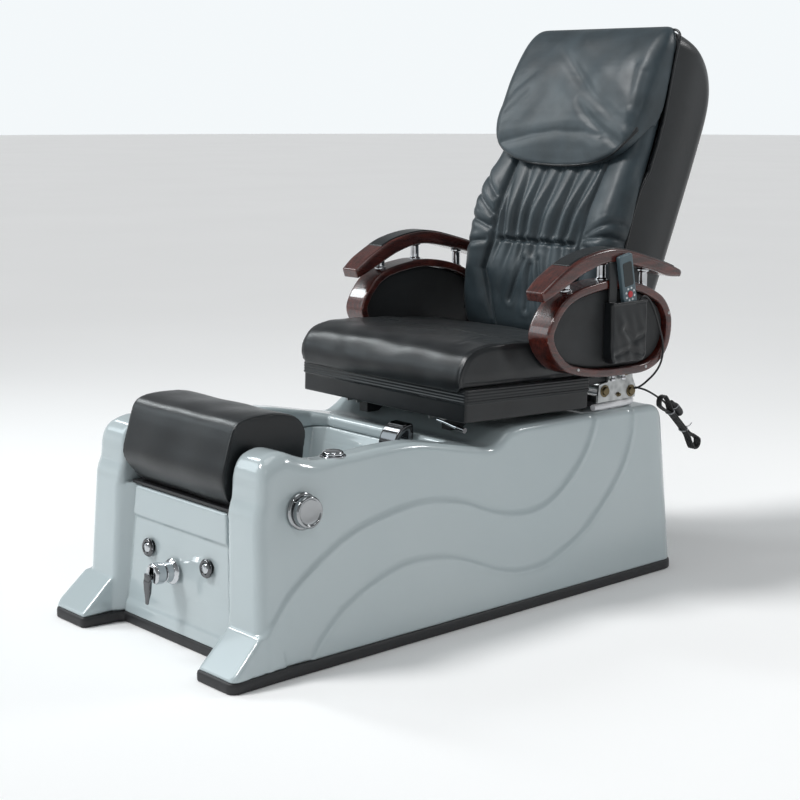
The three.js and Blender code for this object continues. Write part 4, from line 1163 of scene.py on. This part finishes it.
def tap_cap(x, y, z):
    across = x - MIXER_AT[0]
    out = (y - MIXER_AT[1]) * PANEL_OUT[1] + (z - MIXER_AT[2]) * PANEL_OUT[2]
    up = (z - MIXER_AT[2]) * -PANEL_OUT[1] + (y - MIXER_AT[1]) * PANEL_OUT[2]
    radius = np.hypot(across, up)
    body = round_and(radius - 24, np.abs(out - 41.3) - 14.7, 7)
    slot = all_of(np.abs(across) - 8.2, y - (MIXER_AT[1] - 33), np.abs(up + 12) - 27)
    return cut(body, slot, 1.5)


skin("tap_cap", tap_cap, (-44, -658, 128), (12, -614, 192), 1.6, "mixer_cap", CHROME, "chrome",
     stands_for=["mixer_cap"])


def tap_lever(x, y, z):
    """A blade that hangs from the cap: broad at the cap, thin at the tip."""
    lever_y = MIXER_AT[1] - 44
    neck = distance([(lever_y + 4, 160), (lever_y - 19, 158)], y, z, closed=False) - 5.5
    neck = round_and(neck, np.abs(x - MIXER_AT[0]) - 6.5, 2)
    front = [(lever_y - 21, 165), (lever_y - 21, 150), (lever_y - 21.5, 124), (lever_y - 24, 100)]
    blade = distance(front, y, z, closed=False) - 2.6 - 1.8 * step(z, 108, 126) * step(z, 156, 146)
    half = np.interp(z, [92, 104, 130, 150, 160, 172], [3.5, 6, 10.5, 13, 12, 9])
    blade = round_and(blade, np.abs(x - MIXER_AT[0]) - half, 3)
    return round_or(neck, blade, 2)


skin("tap_lever", tap_lever, (-34, -672, 88), (2, -622, 180), 1.3, "mixer_lever", DARK_CHROME, "chrome",
     stands_for=["mixer_lever"])

KNOB_AT = (317.3, -492, 343)
KNOB_OUT = (0.9972, 0, 0.0748)
turned("waste_bezel", [(0, 0.3), (40, 0.3), (40, 3), (38, 6.5), (35, 7.6), (8, 7.6), (8, 12), (0, 12)],
       KNOB_AT, KNOB_OUT, "base", SATIN, "chrome", 64, 1.5, stands_for=["drain_bezel"])
turned("waste_knob", [(0, 12.5), (9, 12.5), (9, 8.6), (31, 8.6), (34, 12), (35, 19), (34, 26), (31, 29),
                      (28, 28.4), (26, 25.5), (8, 25), (0, 25)],
       KNOB_AT, KNOB_OUT, "drain_knob", SATIN, "chrome", 64, 2.0, stands_for=["drain_knob"])
turned("air_knob", [(0, 1), (23, 1), (24, 4), (22, 8), (17, 10.5), (9, 12), (0, 12.4)],
       (271, -372, 436.4), UP, "rim_air_knob", CHROME, "chrome", 48, 2.0, stands_for=["rim_air_knob"])
turned("air_knob_ring", [(0, -2), (29, -2), (29, 0), (27, 0.8), (0, 0.8)], (271, -372, 436.2), UP,
       "base", CHROME, "chrome", 48)

RAIL_Z = 438.5
RAIL = [(290, 427), (290, 450), (290, 500), (290, 540), (282, 572), (262, 594), (230, 602), (120, 602)]
RAIL = [*RAIL, (0, 602), *[(-x, y) for x, y in reversed(RAIL)]]
tube("rail_tube", [(x, y, RAIL_Z) for x, y in RAIL], 8, "base", WHITE_METAL, "white_metal", sides=6,
     stands_for=["deck_rail"])
LEVER = on_seat([(190, 14, -7), (214, 14, -9.6), (240, 14, -14), (262, 14, -17), (272, 14, -18)])
tube("release_rod", LEVER, 4, "slide_lever", CHROME, "chrome", sides=5, stands_for=["slide_lever"])
GRIP = on_seat([(256, 14, -16.2), (268, 14, -17.6), (281, 14, -19)])
tube("release_grip", GRIP, 6.4, "slide_lever", DARK_CHROME, "chrome", sides=5)

FRAME_BOLTS = [(466, 476, 10.5, 32), (562, 466, 10.5, 32), (545, 520, 9.5, 32), (515, 462, 4.5, 6)]
STUD = [(0, 500), (7, 500), (7, 506), (4.5, 507), (4.5, 524), (8, 525), (8, 530), (0, 530)]
for side, sign in SIDES:
    for k, (y, z, radius, sides) in enumerate(FRAME_BOLTS):
        washer = radius * 1.45
        turned(f"frame_bolt_{side}_{k}", [(0, -0.5), (washer, -0.5), (washer, 1.2), (radius, 1.4),
                                          (radius, 6.5), (radius * 0.8, 7.6), (0, 7.8)],
               (sign * 293, y, z), (sign, 0, 0), "seat", BOLT, "zinc", sides, 0.7)
    for k, y in enumerate((484, 522)):
        turned(f"frame_stud_{side}_{k}", STUD, (sign * 302, y, 0), UP, "seat", CHROME, "chrome", 24)


# The mains lead: gland, lead, hank, ties and plug.
turned("lead_gland", [(0, 0.3), (8.5, 0.3), (8.5, 5), (7, 6), (6.4, 12), (6.8, 13), (5.8, 18), (6.1, 19),
                      (5.2, 24), (5.4, 25), (4.5, 30), (0, 30)],
       (205, 515, 430), (0, 1, 0), "base", RUBBER, "rubber", 24, 0.4, stands_for=["power_gland"])
lead = tube("mains_lead", LEAD, 2.5, "base", CORD, "cord", per=7, stands_for=["power_cord", "power_hank"])
lead_line = row(smooth(LEAD, 7))
ties = []
for k, u in enumerate((64, 142)):
    ring = [in_hank(u, 7.4 * math.sin(a), 13.4 * math.cos(a)) for a in np.linspace(0, 2 * math.pi, 13)[:-1]]
    squeezed = smooth(ring, 6, closed=True)
    band = tube(f"tie_{k}", [*squeezed, squeezed[0]], 1.5, "base", TIE, "plastic", per=0, sides=2)
    end = [in_hank(u, 8.2, 4), in_hank(u + 4, 15, 9), in_hank(u + 1, 23, 14)]
    tail = tube(f"tie_tail_{k}", end, 1.2, "base", TIE, "plastic", sides=2)
    ties += [band, tail]
HANK_UP = np.cross((1.0, 0, 0), ALONG)
HANK_UP /= np.linalg.norm(HANK_UP)
plug = turned("lead_plug", [(0, 0), (4.6, 0), (7, 14), (10, 20), (11, 26), (11, 46), (9, 54), (0, 54)],
              tuple(HANK_START + ALONG * 48 + HANK_UP * 21), tuple(ALONG), "base", PLASTIC, "plastic",
              32, 1.5, stands_for=["power_plug"])

HANDSET_CORD = [
    (368, 497, 690), (368, 501, 704), (369, 510, 712), (369, 524, 709), (369, 541, 693), (369, 558, 664),
    (369, 574, 630), (369, 588, 592), (368, 590, 562), (364, 585, 536), (352, 580, 514), (335, 577, 496),
    (320, 573, 482), (307, 569, 474), (295, 566, 471),
]
wire = tube("handset_wire", HANDSET_CORD, 2.5, "seat", CORD, "cord", stands_for=["handset_cord"])
wire_line = row(smooth(HANDSET_CORD, 6))


# ---------------------------------------------------------------- CAD nodes that stay in sight

FINISHES = {
    "base_board": BOARD, "footrest_base": PLASTIC, "circulation_pump": PLASTIC, "control_box": PLASTIC,
    "slide_rail_left": BLACK_METAL, "slide_rail_right": BLACK_METAL, "seat_frame": ZINC,
    "back_frame": BLACK_METAL, "massage_carriage": PLASTIC, "kneading_shaft": ZINC,
    "recline_tube": BLACK_METAL, "recline_rod": CHROME,
}
for name, finish in FINISHES.items():
    node = NODES[name]
    node.data.materials.clear()
    node.data.materials.append(finish)
    bevel = node.modifiers.new("soft_edges", "BEVEL")
    bevel.width = 0.0006
    bevel.segments = 2
    bevel.limit_method = "ANGLE"
